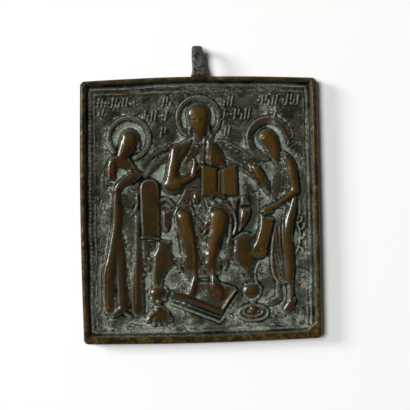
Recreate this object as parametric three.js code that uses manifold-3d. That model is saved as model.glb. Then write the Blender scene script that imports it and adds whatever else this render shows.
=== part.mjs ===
// A small cast bronze icon with a suspension eye, lying on its back.
// Millimetres. X runs across the picture, Y up to the eye, Z out of the picture.
// The origin is the centre of the flat back.
import * as THREE from 'three';
import { mergeVertices } from 'three/addons/utils/BufferGeometryUtils.js';
import Module from 'manifold-3d';

const wasm = await Module();
wasm.setup();

// Plate
const plateWidth = 54;
const plateHeight = 59.5;
const groundThickness = 2;
const cornerRadius = 1.1;
const backRounding = 0.3;

// The edges of the hand-made mould bow outwards, and its corners are a little out of square.
const bow = { top: 0.75, right: 0.1, bottom: 0.4, left: 0.4 };
const taper = 0.1;
const topSkew = 0.05;
const bottomSkew = 0.25;

// Rim and border, measured in from the outer edge
const rimWidth = { top: 1.1, right: 1.6, bottom: 2, left: 1.4 };
const rimRise = 1.5;
const borderWidth = 3.9;
const borderRidgeRise = 0.38;
const cornerFillet = 1.8;

// Relief, measured up from the ground
const reliefRise = 1.8;
const buried = 0.3;

// Suspension eye: it stands on the top edge with its hole running across the picture.
const eyeRise = 7.1;
const eyeDepth = 4.6;
const eyeFootWidth = 3.1;
const eyeTopWidth = 2.3;
const eyeWire = 1;
const eyeFootFlare = 0.8;
const eyeTwist = THREE.MathUtils.degToRad(7);
const eyeShift = 0.2;

const fieldWidth = plateWidth - 2 * borderWidth;
const fieldHeight = plateHeight - 2 * borderWidth;
const edgePieces = 4;

// The carving is set out in hundredths of the picture field, from its centre.
// Lengths that must stay round, such as radii, are hundredths of the field's height.
const unit = fieldHeight / 100;
const place = ([u, v]) => new THREE.Vector2((u * fieldWidth) / 100, v * unit);

// Heights of the carving, as shares of the highest relief
const rise = (share) => share * reliefRise;

// A closed solid from rings of points, bottom ring first. Each ring runs anticlockwise seen from
// above, and the first and last rings are closed by flat or pointed caps.
function solidFromRings(rings) {
  const count = rings[0].length;
  const points = rings.flat();
  const faces = [];
  for (let level = 0; level + 1 < rings.length; level++) {
    for (let i = 0; i < count; i++) {
      const j = (i + 1) % count;
      const low = level * count;
      const high = low + count;
      faces.push(low + i, low + j, high + j, low + i, high + j, high + i);
    }
  }
  const middle = (ring) =>
    ring.reduce((sum, p) => sum.add(p), new THREE.Vector3()).divideScalar(count);
  const first = points.push(middle(rings[0])) - 1;
  const last = points.push(middle(rings[rings.length - 1])) - 1;
  const top = (rings.length - 1) * count;
  for (let i = 0; i < count; i++) {
    const j = (i + 1) % count;
    faces.push(first, j, i, last, top + i, top + j);
  }
  return new wasm.Manifold(
    new wasm.Mesh({
      numProp: 3,
      vertProperties: new Float32Array(points.flatMap((p) => p.toArray())),
      triVerts: new Uint32Array(faces),
    }),
  );
}

// A closed three.js geometry as a solid
function solidFromGeometry(geometry) {
  const bare = geometry.clone();
  bare.deleteAttribute('normal');
  bare.deleteAttribute('uv');
  const merged = mergeVertices(bare, 1e-4);
  return new wasm.Manifold(
    new wasm.Mesh({
      numProp: 3,
      vertProperties: merged.attributes.position.array,
      triVerts: new Uint32Array(merged.index.array),
    }),
  );
}

// The plate's outline, drawn in by a share of the rim and then by a share of the border inside it
function plateOutline(rimShare, borderShare, drawIn = 0) {
  const inset = (side) =>
    drawIn + rimWidth[side] * rimShare + (borderWidth - rimWidth[side]) * borderShare;
  const halfWidth = plateWidth / 2;
  const halfHeight = plateHeight / 2;
  const right = halfWidth - inset('right');
  const left = -halfWidth + inset('left');
  const top = halfHeight - inset('top');
  const bottom = -halfHeight + inset('bottom');
  const corners = [
    new THREE.Vector2(right + taper, bottom + bottomSkew),
    new THREE.Vector2(right - taper, top - topSkew),
    new THREE.Vector2(left + taper, top + topSkew),
    new THREE.Vector2(left - taper, bottom - bottomSkew),
  ];
  const sides = ['right', 'top', 'left', 'bottom'];
  const round = cornerRadius * (1 - 0.6 * borderShare);
  const outline = [];
  corners.forEach((corner, k) => {
    const next = corners[(k + 1) % corners.length];
    const along = next.clone().sub(corner);
    const length = along.length();
    along.normalize();
    const outward = new THREE.Vector2(along.y, -along.x);
    for (let i = 0; i <= edgePieces; i++) {
      const s = round + ((length - 2 * round) * i) / edgePieces;
      const bulge = bow[sides[k]] * (1 - borderShare) * Math.sin((Math.PI * i) / edgePieces);
      outline.push(corner.clone().addScaledVector(along, s).addScaledVector(outward, bulge));
    }
    const inward = new THREE.Vector2(-Math.sign(next.x), -Math.sign(next.y));
    outline.push(next.clone().addScaledVector(inward, round * (1 - Math.SQRT1_2)));
  });
  return outline;
}

const lift = (outline, z) => outline.map((p) => new THREE.Vector3(p.x, p.y, z));

// Plate, rim and the three fine ridges of the border, as one stepped skin
function plate() {
  const rimTop = groundThickness + rimRise;
  const valley = groundThickness;
  const ridge = groundThickness + borderRidgeRise;
  return solidFromRings([
    lift(plateOutline(0, 0, backRounding), 0),
    lift(plateOutline(0, 0), backRounding),
    lift(plateOutline(0, 0), rimTop - rimRise * 0.35),
    lift(plateOutline(0.25, 0), rimTop - rimRise * 0.05),
    lift(plateOutline(0.6, 0), rimTop),
    lift(plateOutline(0.85, 0), rimTop - rimRise * 0.2),
    lift(plateOutline(1, 0.04), valley),
    lift(plateOutline(1, 0.22), valley),
    lift(plateOutline(1, 0.36), ridge),
    lift(plateOutline(1, 0.5), valley),
    lift(plateOutline(1, 0.62), ridge),
    lift(plateOutline(1, 0.76), valley),
    lift(plateOutline(1, 0.95), ridge),
    lift(plateOutline(1, 1.08), valley),
  ]);
}

// A ridge with a round back that follows a smooth path. Radii, like the path, run from its start
// to its end, and so may its height, given as one share or as several. Thin ridges have sharp backs.
const thin = 1.05;
const roundBack = [[1, -1], [0.66, 0.8], [0, 1], [-0.66, 0.8], [-1, -1]];
const sharpBack = [[1, -1], [0, 1], [-1, -1]];

function stroke(path, radii, height) {
  const flat = path.map(place);
  const curve = new THREE.CatmullRomCurve3(flat.map((p) => new THREE.Vector3(p.x, p.y, 0)));
  const sizes = [].concat(radii);
  const heights = [].concat(height).map(rise);
  const section = Math.max(...sizes) > thin ? roundBack : sharpBack;
  const between = (list, t) => {
    const at = t * (list.length - 1);
    const i = Math.min(Math.floor(at), list.length - 2);
    return list.length === 1 ? list[0] : THREE.MathUtils.lerp(list[i], list[i + 1], at - i);
  };
  // One ring across the path at t, moved along it by a number of radii and narrowed at the ends
  const ring = (t, offset, share) => {
    const tangent = curve.getTangent(t);
    const r = between(sizes, t) * unit;
    const centre = curve.getPoint(t).addScaledVector(tangent, offset * r);
    const side = new THREE.Vector3(tangent.y, -tangent.x, 0);
    const h = between(heights, t) * (0.35 + 0.65 * share);
    return section.map(([across, up]) =>
      centre
        .clone()
        .addScaledVector(side, across * r * share)
        .setZ(groundThickness + (up < 0 ? -buried : h * up)),
    );
  };
  const steps = path.length - 1;
  const rings = [];
  for (let i = 1; i < steps; i++) rings.push(ring(i / steps, 0, 1));
  if (section === roundBack) {
    rings.unshift(ring(0, 0, 1));
    rings.push(ring(1, 0, 1));
  }
  const endShare = rings.length > 0 ? 0.5 : 0.9;
  rings.unshift(ring(0, -0.8, endShare));
  rings.push(ring(1, 0.8, endShare));
  return solidFromRings(rings.map((points) => points.reverse()));
}

// A rounded boss: an ellipse of two radii, turned by an angle in degrees
function dome([u, v], across, along, turn, height, sides = 10) {
  const centre = place([u, v]);
  const angle = THREE.MathUtils.degToRad(turn);
  const ring = (share, z) =>
    Array.from({ length: sides }, (_, i) => {
      const a = (2 * Math.PI * i) / sides;
      return new THREE.Vector2(across * unit * share * Math.cos(a), along * unit * share * Math.sin(a))
        .rotateAround(new THREE.Vector2(), angle)
        .add(centre);
    }).map((p) => new THREE.Vector3(p.x, p.y, groundThickness + z));
  const h = rise(height);
  return solidFromRings([ring(1, -buried), ring(1, h * 0.3), ring(0.8, h * 0.75), ring(0.42, h * 0.97)]);
}

// A flat raised shape with a chamfered edge. Its top may slope: two heights run from its first
// point to the point farthest from it.
function slab(outline, height, chamfer = 0.7) {
  const flat = outline.map(place);
  if (THREE.ShapeUtils.area(flat) < 0) flat.reverse();
  const middle = flat.reduce((sum, p) => sum.add(p), new THREE.Vector2()).divideScalar(flat.length);
  const [low, high] = [].concat(height, height).map(rise);
  const start = place(outline[0]);
  const reach = flat.reduce((a, b) => (b.distanceTo(start) > a.distanceTo(start) ? b : a));
  const slope = reach.clone().sub(start);
  const top = (p) => {
    const t = p.clone().sub(start).dot(slope) / slope.lengthSq();
    return THREE.MathUtils.lerp(low, high, THREE.MathUtils.clamp(t, 0, 1));
  };
  const drawn = flat.map((p) => {
    const towards = middle.clone().sub(p);
    return p.clone().addScaledVector(towards, Math.min(0.5, (chamfer * unit) / towards.length()));
  });
  const at = (points, z) =>
    points.map((p, i) => new THREE.Vector3(p.x, p.y, groundThickness + z(flat[i])));
  return solidFromRings([
    at(flat, () => -buried),
    at(flat, (p) => top(p) * 0.6),
    at(drawn, (p) => top(p)),
  ]);
}

// A ridge along part of a circle, from one angle to another in degrees
function arc(centre, radius, halfWidth, from, to, height) {
  const pieces = Math.max(2, Math.ceil(Math.abs(to - from) / 30));
  const path = Array.from({ length: pieces + 1 }, (_, i) => {
    const a = THREE.MathUtils.degToRad(from + ((to - from) * i) / pieces);
    const across = (radius * Math.cos(a) * unit * 100) / fieldWidth;
    return [centre[0] + across, centre[1] + radius * Math.sin(a)];
  });
  return stroke(path, halfWidth, height);
}

// Rows of short raised marks where the casting carried an inscription
function marks(from, to, rows, height) {
  const pitch = 3.2;
  const count = Math.floor((to - from) / pitch);
  const [bottom, top] = rows;
  return Array.from({ length: count }, (_, i) => {
    const u = from + pitch * (i + 0.5);
    const foot = i % 3 === 1 ? (bottom + top) / 2 : bottom;
    const lean = i % 2 === 0 ? 0 : 0.8;
    return stroke([[u, foot], [u + lean, top]], 0.55, height);
  });
}

// A worn face: brow, nose and beard, on common proportions of the head's own height
function face([u, v], size, lean, height) {
  const angle = THREE.MathUtils.degToRad(lean);
  const on = (across, up) => {
    const x = (across * Math.cos(angle) - up * Math.sin(angle)) * size;
    const y = (across * Math.sin(angle) + up * Math.cos(angle)) * size;
    return [u + (x * fieldHeight) / fieldWidth, v + y];
  };
  return [
    stroke([on(-0.34, 0.16), on(0, 0.2), on(0.34, 0.16)], size * 0.12, height),
    stroke([on(0, 0.2), on(0, -0.14)], [size * 0.08, size * 0.13], height + 0.03),
    stroke([on(-0.2, -0.36), on(0.2, -0.36)], size * 0.1, height - 0.03),
  ];
}

function enthronedFigure() {
  return [
    // Head, hair and halo
    arc([-0.3, 40.8], 9.4, 0.7, -33, 218, 0.34),
    dome([0, 41.6], 5, 5.2, 0, 0.98, 12),
    stroke([[0, 39.5], [0, 35], [0.1, 31.6]], [4.4, 3.1, 1], [0.9, 0.8, 0.6]),
    stroke([[3.4, 38], [4.4, 34.5], [5.4, 32.5]], 1, 0.5),
    stroke([[-3.6, 38], [-5, 35], [-4.4, 32.3]], 1, 0.5),
    face([0, 40.4], 5, 0, 1),
    // Body under the mantle
    slab([[-4, 31], [4, 31.5], [11, 25], [13, 19], [10, 4], [-8, 4], [-9, 12], [-11, 24]], 0.42),
    // Shoulders and the mantle's edge
    stroke([[-4.5, 30.6], [-8.6, 28.3], [-11.6, 25], [-12.2, 21]], [1.6, 2.6], [0.6, 0.8]),
    stroke([[5, 30.3], [8, 28], [10, 25], [11.3, 21]], [1.8, 3], [0.6, 0.75]),
    stroke([[2.8, 29], [3.2, 25], [4.2, 20.5]], [1, 1.6], 0.68),
    stroke([[-3, 31], [-0.6, 27], [0.2, 24.5]], 0.7, 0.58),
    stroke([[-5.5, 28.5], [-7.5, 26], [-8.6, 23.5]], 0.8, 0.66),
    // Near arm: sleeve, elbow and blessing hand
    stroke([[-11.8, 24], [-13.2, 19], [-14.2, 14]], [2.2, 2.2], 0.85),
    dome([-13, 12.2], 5.2, 3.8, 12, 0.95, 12),
    stroke([[-11, 12.2], [-6, 13.8], [-2, 16.4]], [2.4, 1.9, 2], [0.85, 0.8]),
    stroke([[-2.2, 16.4], [-2.9, 21.6]], [2.1, 1.1], 0.85),
    // Waist, sash and the folds of the lap
    stroke([[-7.5, 10.6], [-4.5, 10.9], [-1.5, 10.4]], 0.7, 0.5),
    dome([-1.7, 5], 1.8, 3.2, 0, 0.66, 8),
    stroke([[-7.5, 8.5], [-9.6, 4.5], [-11.5, 1.5]], 0.8, 0.52),
    stroke([[-4.6, 8.5], [-5.8, 4], [-6, 2.8]], 0.8, 0.52),
    stroke([[2, 5], [3.8, 2.5], [4.5, 0.5]], 0.8, 0.5),
    slab([[-11, 3], [12, 4.5], [16, -1], [14, -8], [-12, -8], [-13, -1]], 0.36),
    // Mantle over the knees
    stroke([[-12.3, -0.8], [-9.8, 1.6], [-7, 2], [-4.4, 0.8], [-2.8, -1]], 0.9, 0.66),
    stroke([[5.2, 1], [8.5, 2], [12.5, 1.4], [15.6, -1.5], [16.4, -6], [16, -10]], 1, 0.6),
    // Knees and shins
    dome([-8.2, -2.2], 3.9, 3.6, 0, 1, 10),
    stroke([[-8, -3], [-6.6, -10], [-5.3, -17], [-4.6, -22.6]], [3.4, 3, 2.7, 2.5], [0.98, 0.75]),
    dome([8.8, -3], 4.9, 4, 0, 1, 10),
    stroke([[8, -4.5], [6.8, -10], [6, -16], [5.4, -22.4]], [4, 3.1, 2.6, 2.5], [0.98, 0.75]),
    // Cloth between and beside the legs
    slab([[-12, -4], [15.5, -4], [12, -21], [8, -24], [-8, -24], [-9, -18]], 0.3),
    stroke([[-3.3, -2.6], [-1, -4.6], [0.4, -6.6], [3.4, -3.6]], 0.7, 0.6),
    stroke([[-2.6, -6.4], [-0.2, -9.8], [1.6, -9.6], [3.2, -7]], 0.7, 0.58),
    stroke([[-0.8, -12], [1, -13.4], [2.6, -11.4]], 0.6, 0.55),
    stroke([[-1.6, -12], [-0.8, -18], [0.8, -23.8]], 0.6, 0.5),
    stroke([[-11.6, -3.4], [-10.2, -10], [-9, -18.5]], 0.7, 0.52),
    stroke([[13.4, -6.5], [13.2, -14], [13.4, -20.4]], [1.3, 2], 0.55),
    stroke([[-9.3, -23.4], [-5, -24]], 0.8, 0.6),
    stroke([[2.2, -23.8], [8.6, -23.2]], 0.8, 0.6),
    // Under-robe and feet
    slab([[-2, -24], [5, -24], [5, -29.4], [-2, -29.4]], 0.4, 0.5),
    stroke([[-4.3, -24], [-4.2, -30.5]], 1.4, 0.6),
    stroke([[-4.7, -30.5], [-5.9, -35.2]], [1.6, 1.9], 0.72),
    stroke([[5.3, -29.8], [6.6, -33], [7.8, -36.6]], [1.7, 2.2], 0.72),
  ];
}

function openBook() {
  return [
    slab([[0.2, 19.6], [0.2, 6.4], [8.8, 6.4], [8.8, 17.8]], [0.94, 0.78]),
    slab([[18.2, 6.4], [18.2, 19.8], [12, 19.3], [9.2, 17.8], [9.2, 6.6]], [0.94, 0.8]),
    stroke([[6, 6.2], [8.4, 6.8], [11.2, 5.6]], 1.1, 0.7),
  ];
}

function footstool() {
  const top = [[8.8, -45], [17, -35.4], [16.8, -33.6], [10, -32], [-10.3, -31], [-14.7, -36.8]];
  return [
    slab(top, [0.8, 0.45], 0.5),
    slab([[8.8, -45], [-14.7, -37], [-15, -41], [9, -49.8]], 0.36, 0.4),
    slab([[8.8, -45], [9, -49.8], [16.4, -38], [17, -35.6]], 0.34, 0.4),
    stroke([[-14.4, -37.4], [8.6, -45.4]], 0.7, 0.85),
    stroke([[-14.6, -41], [8.2, -48.9]], 0.7, 0.5),
    stroke([[9.2, -45.2], [16.9, -36]], 0.6, 0.75),
  ];
}

// One lobe of the throne's fan-shaped foot, turned in degrees from straight down
function fanLobe([u, v], turn, to) {
  const from = to * 0.25;
  const a = THREE.MathUtils.degToRad(turn - 90);
  const at = (reach) => [u + (reach * Math.cos(a) * fieldHeight) / fieldWidth, v + reach * Math.sin(a)];
  return stroke([at(from), at(to)], [0.7, 1.5], [0.5, 0.62]);
}

function throne() {
  return [
    // Curved back
    slab(
      [[9.5, 29], [14.5, 28.8], [20.5, 26], [24.5, 23], [29.5, 20.5], [30, 11.5], [24.6, 15.6], [18.6, 19.4], [13, 24]],
      0.24,
    ),
    stroke([[9.4, 29.6], [13.5, 29.4], [18, 27.4], [24, 23.4], [28.5, 20.8]], 0.9, 0.36),
    stroke([[18.6, 19.2], [24.6, 15.7], [29.4, 12]], 0.8, 0.36),
    stroke([[-15.5, 28.2], [-21.6, 25.4], [-28.6, 20]], 1.1, 0.4),
    stroke([[-15.6, 24.4], [-20.4, 21.2], [-26.6, 16.6]], 1.3, 0.4),
    // Cushion ends
    slab([[-19.7, 1.4], [-19.7, -6.4], [-17.6, -9.4], [-15.5, -7], [-15.5, 1.4]], 0.62),
    stroke([[-19.6, 4], [-16.8, 4.8], [-13.8, 2.8]], 1.1, 0.55),
    slab([[14.4, 5.6], [16, -0.8], [17.6, -1.6], [19, 5.6]], 0.5),
    slab([[20, 5.8], [19.4, 1.8], [25, 1.8], [23, 5]], 0.55),
    slab([[19.4, 0.8], [18, -10.6], [22, -8.2], [24.6, -5], [25, 0.6]], 0.78),
    // Seat ends behind the robe
    slab([[9.6, -21.6], [13.6, -21.6], [13.2, -26], [9.8, -25.4]], 0.42, 0.5),
    slab([[-13.4, -20.4], [-9.6, -21.6], [-9.2, -26.6], [-12.2, -26.6]], 0.4, 0.5),
    // Near leg: panel, knob and fan-shaped foot
    slab(
      [[-22, -13], [-15, -13], [-14.6, -20], [-12.6, -23.4], [-16.4, -26.2], [-19.2, -32], [-24.6, -32], [-25.3, -20]],
      0.6,
    ),
    stroke([[-23.8, -19], [-23.4, -31]], 1.1, 0.68),
    dome([-21.8, -35.6], 3.4, 2.9, 0, 0.85),
    ...[-24.4, -21.5, -18.7].map((u) => dome([u, -39], 1.1, 1, 0, 0.5, 6)),
    dome([-17.2, -35.6], 1, 1.3, 0, 0.45, 6),
    ...[[-50, 7.6], [-25, 7.1], [3, 7.8], [29, 7], [51, 6.2]].map(([turn, to]) => fanLobe([-20.8, -41.2], turn, to)),
    // Far leg: panel, ball and turned base
    slab(
      [[16, -12.6], [20.5, -11], [26.2, -11], [27, -21], [25.2, -31], [21, -31.5], [19.4, -26.8], [15.2, -22]],
      0.6,
    ),
    stroke([[28.6, -23.5], [26.8, -26], [26.3, -29], [26.8, -31]], 0.6, 0.4),
    dome([24.8, -35.6], 3.7, 3.5, 0, 0.9),
    stroke([[28.6, -33.6], [29, -35.6], [28.3, -37.8]], 0.7, 0.45),
    dome([24.8, -46.4], 7.7, 3.3, 0, 0.34, 14),
    dome([24.8, -45], 5.6, 2.7, 0, 0.55, 12),
    dome([24.7, -43], 2.9, 2.5, 0, 0.8, 8),
  ];
}

function leftAttendant() {
  return [
    // Halo and veiled head, bowed towards the throne
    arc([-34.8, 32.4], 9, 0.8, -71, 220, 0.34),
    dome([-34.9, 31.8], 4.9, 4.1, 14, 0.95, 12),
    stroke([[-36.2, 31.4], [-38.2, 27.6], [-40.6, 23.4]], [3.8, 2.8, 2.6], [0.85, 0.66]),
    face([-32.8, 31.4], 3.6, 24, 0.95),
    // Shoulders, chest and the arm held forward
    slab([[-44, 24], [-37, 23.4], [-32, 19], [-29.5, 15], [-33, 13], [-40, 10], [-46, 14], [-47.5, 19]], 0.36),
    stroke([[-44.2, 21.6], [-44.2, 15]], [2.6, 2.5], 0.75),
    stroke([[-41, 22.4], [-36, 21.3], [-32.6, 18.8], [-30, 16.6]], [1.4, 1.2], 0.62),
    stroke([[-41.4, 9.8], [-38, 12], [-33.4, 13.6], [-29.8, 14.6]], [2, 1.7, 1.2], 0.85),
    // Hanging sleeve with its folds
    slab([[-39.4, 8.6], [-35.6, 11], [-31.6, 8], [-31.4, 1], [-35.2, -2.2], [-39, 1]], 0.34),
    stroke([[-38.8, 1.6], [-35.3, -1.4], [-31.7, 1.8]], 0.7, 0.5),
    stroke([[-37.8, 4.6], [-35.2, 2.4], [-32.8, 5]], 0.6, 0.45),
    // Long robe: back panel, three broad ridges and thin folds between them
    slab([[-45, 23], [-49, 10], [-49.6, -12], [-49.8, -28], [-49, -43.6], [-29.6, -44], [-29.6, -12], [-38, 8]], 0.2),
    stroke(
      [[-41.8, 9], [-42.2, 0], [-42.8, -9], [-44.4, -18], [-46, -27], [-46.8, -35], [-46.9, -42.6]],
      [1.8, 2, 2.1, 2.2, 2],
      [0.85, 0.8, 0.78],
    ),
    stroke([[-39.3, -5], [-39.6, -15], [-40, -26], [-39.5, -41]], [1.3, 1.6, 1.7], 0.72),
    stroke([[-31.2, -14], [-31.8, -26], [-32.4, -34], [-32.4, -43]], [1.6, 2, 2.5, 2.6], 0.66),
    stroke([[-36.2, -9], [-35.6, -16], [-35, -22]], 0.6, 0.42),
    stroke([[-37.2, -24], [-36.2, -32], [-36.4, -40]], 0.6, 0.42),
    stroke([[-43.3, -25], [-43, -33], [-43.2, -41]], 0.6, 0.42),
    // Feet and the ground they stand on
    stroke([[-38.6, -42.4], [-43.6, -44.8]], [1.5, 1.2], 0.62),
    stroke([[-39, -45.2], [-35.8, -46.2]], 1, 0.5),
    stroke([[-47.6, -46], [-40, -47.2], [-30, -46.4]], 0.7, 0.25),
    // Scroll held before the figure, and the ragged ground below it
    slab(
      [[-29.8, 10], [-28.4, 13.2], [-25, 14.4], [-21.8, 13.2], [-20.3, 10], [-20.3, -11.2], [-29.8, -11.2]],
      0.72,
    ),
    stroke([[-29.4, 9.4], [-20.8, 9.4]], 0.5, 0.8),
    stroke([[-29.6, -11.6], [-20.6, -12.2]], 1, 0.82),
    ...[[-26.4, -15], [-26.2, -18.4], [-27.4, -21.6], [-28.4, -25]].map((at, i) =>
      dome(at, 1.7 - 0.2 * i, 1.6, 25, 0.42, 7),
    ),
  ];
}

function rightAttendant() {
  return [
    // Halo and bearded head, bowed towards the throne
    arc([34, 31.2], 9.2, 0.75, 8, 262, 0.34),
    stroke([[43.6, 27.4], [44.4, 30.2]], 0.7, 0.3),
    dome([34, 31], 5, 4.2, -30, 0.95, 12),
    stroke([[35.4, 29.4], [37, 25], [38, 20.6]], [3.6, 2.7, 1.3], [0.85, 0.68]),
    stroke([[37.4, 33.6], [39.4, 29], [40.6, 24.6]], [1.5, 1], 0.55),
    face([31.9, 30.6], 3.6, -28, 0.95),
    // Back, shoulders and chest
    slab([[40, 25.6], [44.4, 23.6], [47.6, 18], [48, 8], [46, 1], [36, 1], [33.6, 8], [36, 18]], 0.34),
    stroke([[39.6, 18], [38.4, 12], [36.4, 6]], 0.8, 0.5),
    stroke([[42.2, 19], [41.2, 13], [39, 6.6]], 0.9, 0.52),
    // Raised hand, and the arm that holds the scroll
    stroke([[27, 17.8], [29.2, 13.6], [32.4, 10.4], [34, 7.4]], [2.2, 1.8, 1.8], 0.8),
    stroke([[43.6, 22.2], [45.2, 16], [46, 9.6]], [2, 2.1], 0.8),
    stroke([[46, 8], [40, 3.8], [33.4, 0.4], [30.8, -0.8]], [2, 1.5, 1.5], [0.8, 0.85]),
    stroke([[28.2, 12], [28.4, 1]], 0.5, 0.3),
    slab([[28.8, -3], [37.4, -3.4], [36, -8], [33, -19], [23.6, -19.2], [25.6, -14], [27.6, -8]], 0.74),
    stroke([[23.8, -19.4], [31.6, -20.2]], 1.1, 0.85),
    // Robe: body, strong back ridge and the folds that sweep down to the hem
    slab([[37, -3], [47.2, 2], [44.6, -8], [43.2, -18], [44.8, -26], [44.4, -31.4], [37, -32], [34, -20]], 0.36),
    stroke(
      [[46.2, 3], [44.4, -4], [42.8, -12], [43, -20], [43.6, -26], [43, -31]],
      [1.7, 1.8, 1.6, 1.7],
      [0.8, 0.72],
    ),
    stroke([[35.2, -13], [37, -22], [39.6, -29.6]], 0.7, 0.55),
    stroke([[37, -8], [38.6, -18], [41, -28]], 0.7, 0.55),
    stroke([[39.4, -5], [39.8, -13], [41.2, -20]], 0.7, 0.52),
    stroke([[34.6, -19], [35.2, -26], [37.6, -31.4]], 0.8, 0.55),
    stroke([[48.6, 4.6], [48.8, -1.6]], 0.7, 0.4),
    // Legs and feet
    stroke([[38, -32], [38.2, -38.6]], 1, 0.5),
    stroke([[43.6, -31.6], [43.2, -38]], 1.4, 0.6),
    stroke([[38.4, -39.8], [32, -41]], [1.3, 1.2], 0.6),
    stroke([[45.4, -39.6], [43, -43], [40.6, -44.8]], [1.6, 1.5, 1.1], 0.62),
    // Plant beside the figure
    stroke([[46.6, -19.6], [48, -14], [47, -8.4]], 0.5, 0.26),
    ...[[50, -5.5], [50.4, -8.6], [50, -12.6], [49.2, -17.6]].map((at) => dome(at, 1, 0.7, 20, 0.24, 6)),
  ];
}

function inscription() {
  const topRow = [46.2, 48.8];
  const middleRow = [40.4, 44];
  const lowRow = [33, 36.4];
  const height = 0.2;
  return [
    marks(-50, -31, topRow, height),
    marks(-20, -12, topRow, height),
    marks(12, 18, topRow, height),
    marks(27, 50, topRow, height),
    marks(-27, -13, middleRow, height),
    marks(11.5, 26, middleRow, height),
    marks(-20, -14.5, lowRow, height),
    marks(12, 17.5, lowRow, height),
  ].flat();
}

// Metal that filled the inner corner of the rim at the lower right
function cornerFill() {
  const right = plateWidth / 2 - rimWidth.right;
  const bottom = -plateHeight / 2 + rimWidth.bottom;
  const over = 0.6;
  const outline = [
    [right + over, bottom - over],
    [right + over, bottom + cornerFillet],
    [right - cornerFillet, bottom - over],
  ].map(([x, y]) => new THREE.Vector2(x, y));
  return solidFromRings([
    lift(outline, groundThickness - buried),
    lift(outline, groundThickness + rimRise * 0.8),
  ]);
}

// The suspension eye, cast with the plate and flush with its back
function eye() {
  const foot = plateHeight / 2 + bow.top - 1;
  const top = foot + 1 + eyeRise;
  const bend = eyeDepth / 2;
  const shape = new THREE.Shape();
  shape.moveTo(0, foot);
  shape.lineTo(eyeDepth, foot);
  shape.lineTo(eyeDepth, top - bend * 1.3);
  shape.absellipse(bend, top - bend * 1.3, bend, bend * 1.3, 0, Math.PI, false);
  shape.lineTo(0, foot);
  const hole = new THREE.Path();
  const holeHigh = (eyeRise - eyeWire * 1.1 - eyeFootFlare) / 2;
  hole.absellipse(bend, top - eyeWire * 1.1 - holeHigh, bend - eyeWire, holeHigh, 0, 2 * Math.PI, true);
  shape.holes.push(hole);
  const rounding = 0.3;
  const geometry = new THREE.ExtrudeGeometry(shape, {
    depth: eyeFootWidth - 2 * rounding,
    curveSegments: 6,
    bevelEnabled: true,
    bevelThickness: rounding,
    bevelSize: rounding,
    bevelOffset: -rounding,
    bevelSegments: 1,
  });
  // The extruded shape lies in X and Y, so it is turned to stand in Y and Z.
  geometry.translate(-eyeDepth, 0, -eyeFootWidth / 2 + rounding);
  geometry.rotateY(Math.PI / 2);
  const position = geometry.attributes.position;
  for (let i = 0; i < position.count; i++) {
    const up = THREE.MathUtils.clamp((position.getY(i) - foot - 1) / eyeRise, 0, 1);
    const narrow = THREE.MathUtils.lerp(1, eyeTopWidth / eyeFootWidth, up);
    const flare = 1 + (eyeFootFlare / eyeFootWidth) * Math.max(0, 1 - up * 5);
    const twist = eyeTwist * up;
    const x = position.getX(i) * narrow * flare - (eyeFootWidth * (1 - narrow)) / 2;
    const z = position.getZ(i) - bend;
    position.setX(i, eyeShift + x * Math.cos(twist) + z * Math.sin(twist));
    position.setZ(i, bend + z * Math.cos(twist) - x * Math.sin(twist));
  }
  return solidFromGeometry(geometry);
}

function build() {
  let casting = plate();
  const forms = [
    cornerFill(),
    eye(),
    enthronedFigure(),
    openBook(),
    footstool(),
    throne(),
    leftAttendant(),
    rightAttendant(),
    inscription(),
  ].flat(3);
  for (const form of forms) casting = casting.add(form);
  return casting;
}

// Where facets nearly coincide, joining them leaves edges far shorter than any detail of the
// casting. Each such edge melts into one point, if the surface stays closed round it.
const shortestEdge = 0.03;

function meltShortEdges({ vertProperties, triVerts }) {
  const joined = new THREE.BufferGeometry();
  joined.setAttribute('position', new THREE.BufferAttribute(vertProperties, 3));
  joined.setIndex(new THREE.BufferAttribute(triVerts, 1));
  const { attributes, index } = mergeVertices(joined, 1e-4);
  const points = Array.from({ length: attributes.position.count }, (_, i) =>
    new THREE.Vector3().fromBufferAttribute(attributes.position, i),
  );
  const faces = [];
  for (let i = 0; i < index.count; i += 3) {
    const face = [0, 1, 2].map((k) => index.getX(i + k));
    if (new Set(face).size === 3) faces.push(face);
  }
  const touching = points.map(() => new Set());
  faces.forEach((face, f) => face.forEach((v) => touching[v].add(f)));
  const around = (v) => new Set([...touching[v]].flatMap((f) => faces[f]));

  const melt = (kept, gone) => {
    for (const f of [...touching[gone]]) {
      const closes = faces[f].includes(kept);
      for (const v of faces[f]) touching[v].delete(f);
      faces[f] = closes ? [] : faces[f].map((v) => (v === gone ? kept : v));
      for (const v of faces[f]) touching[v].add(f);
    }
  };

  for (let f = 0; f < faces.length; f++) {
    for (let side = 0; side < faces[f].length; side++) {
      const kept = faces[f][side];
      const gone = faces[f][(side + 1) % 3];
      if (points[kept].distanceTo(points[gone]) > shortestEdge) continue;
      const beside = around(gone);
      const shared = [...around(kept)].filter((v) => beside.has(v) && v !== kept && v !== gone);
      if (shared.length !== 2) continue;
      melt(kept, gone);
      side = -1;
    }
  }
  return { points, faces: faces.filter((face) => face.length > 0) };
}

function meshFromSolid(solid, name, material) {
  const { points, faces } = meltShortEdges(solid.getMesh());
  const geometry = new THREE.BufferGeometry();
  const corners = faces.flat().flatMap((v) => points[v].toArray());
  geometry.setAttribute('position', new THREE.Float32BufferAttribute(corners, 3));
  geometry.computeVertexNormals();
  const mesh = new THREE.Mesh(geometry, material);
  mesh.name = name;
  return mesh;
}

const patinatedBronze = new THREE.MeshStandardMaterial({ color: 0x6b5238, roughness: 0.45, metalness: 0.8 });

const group = new THREE.Group();
group.add(meshFromSolid(build(), 'icon', patinatedBronze));

export default group;
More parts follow.
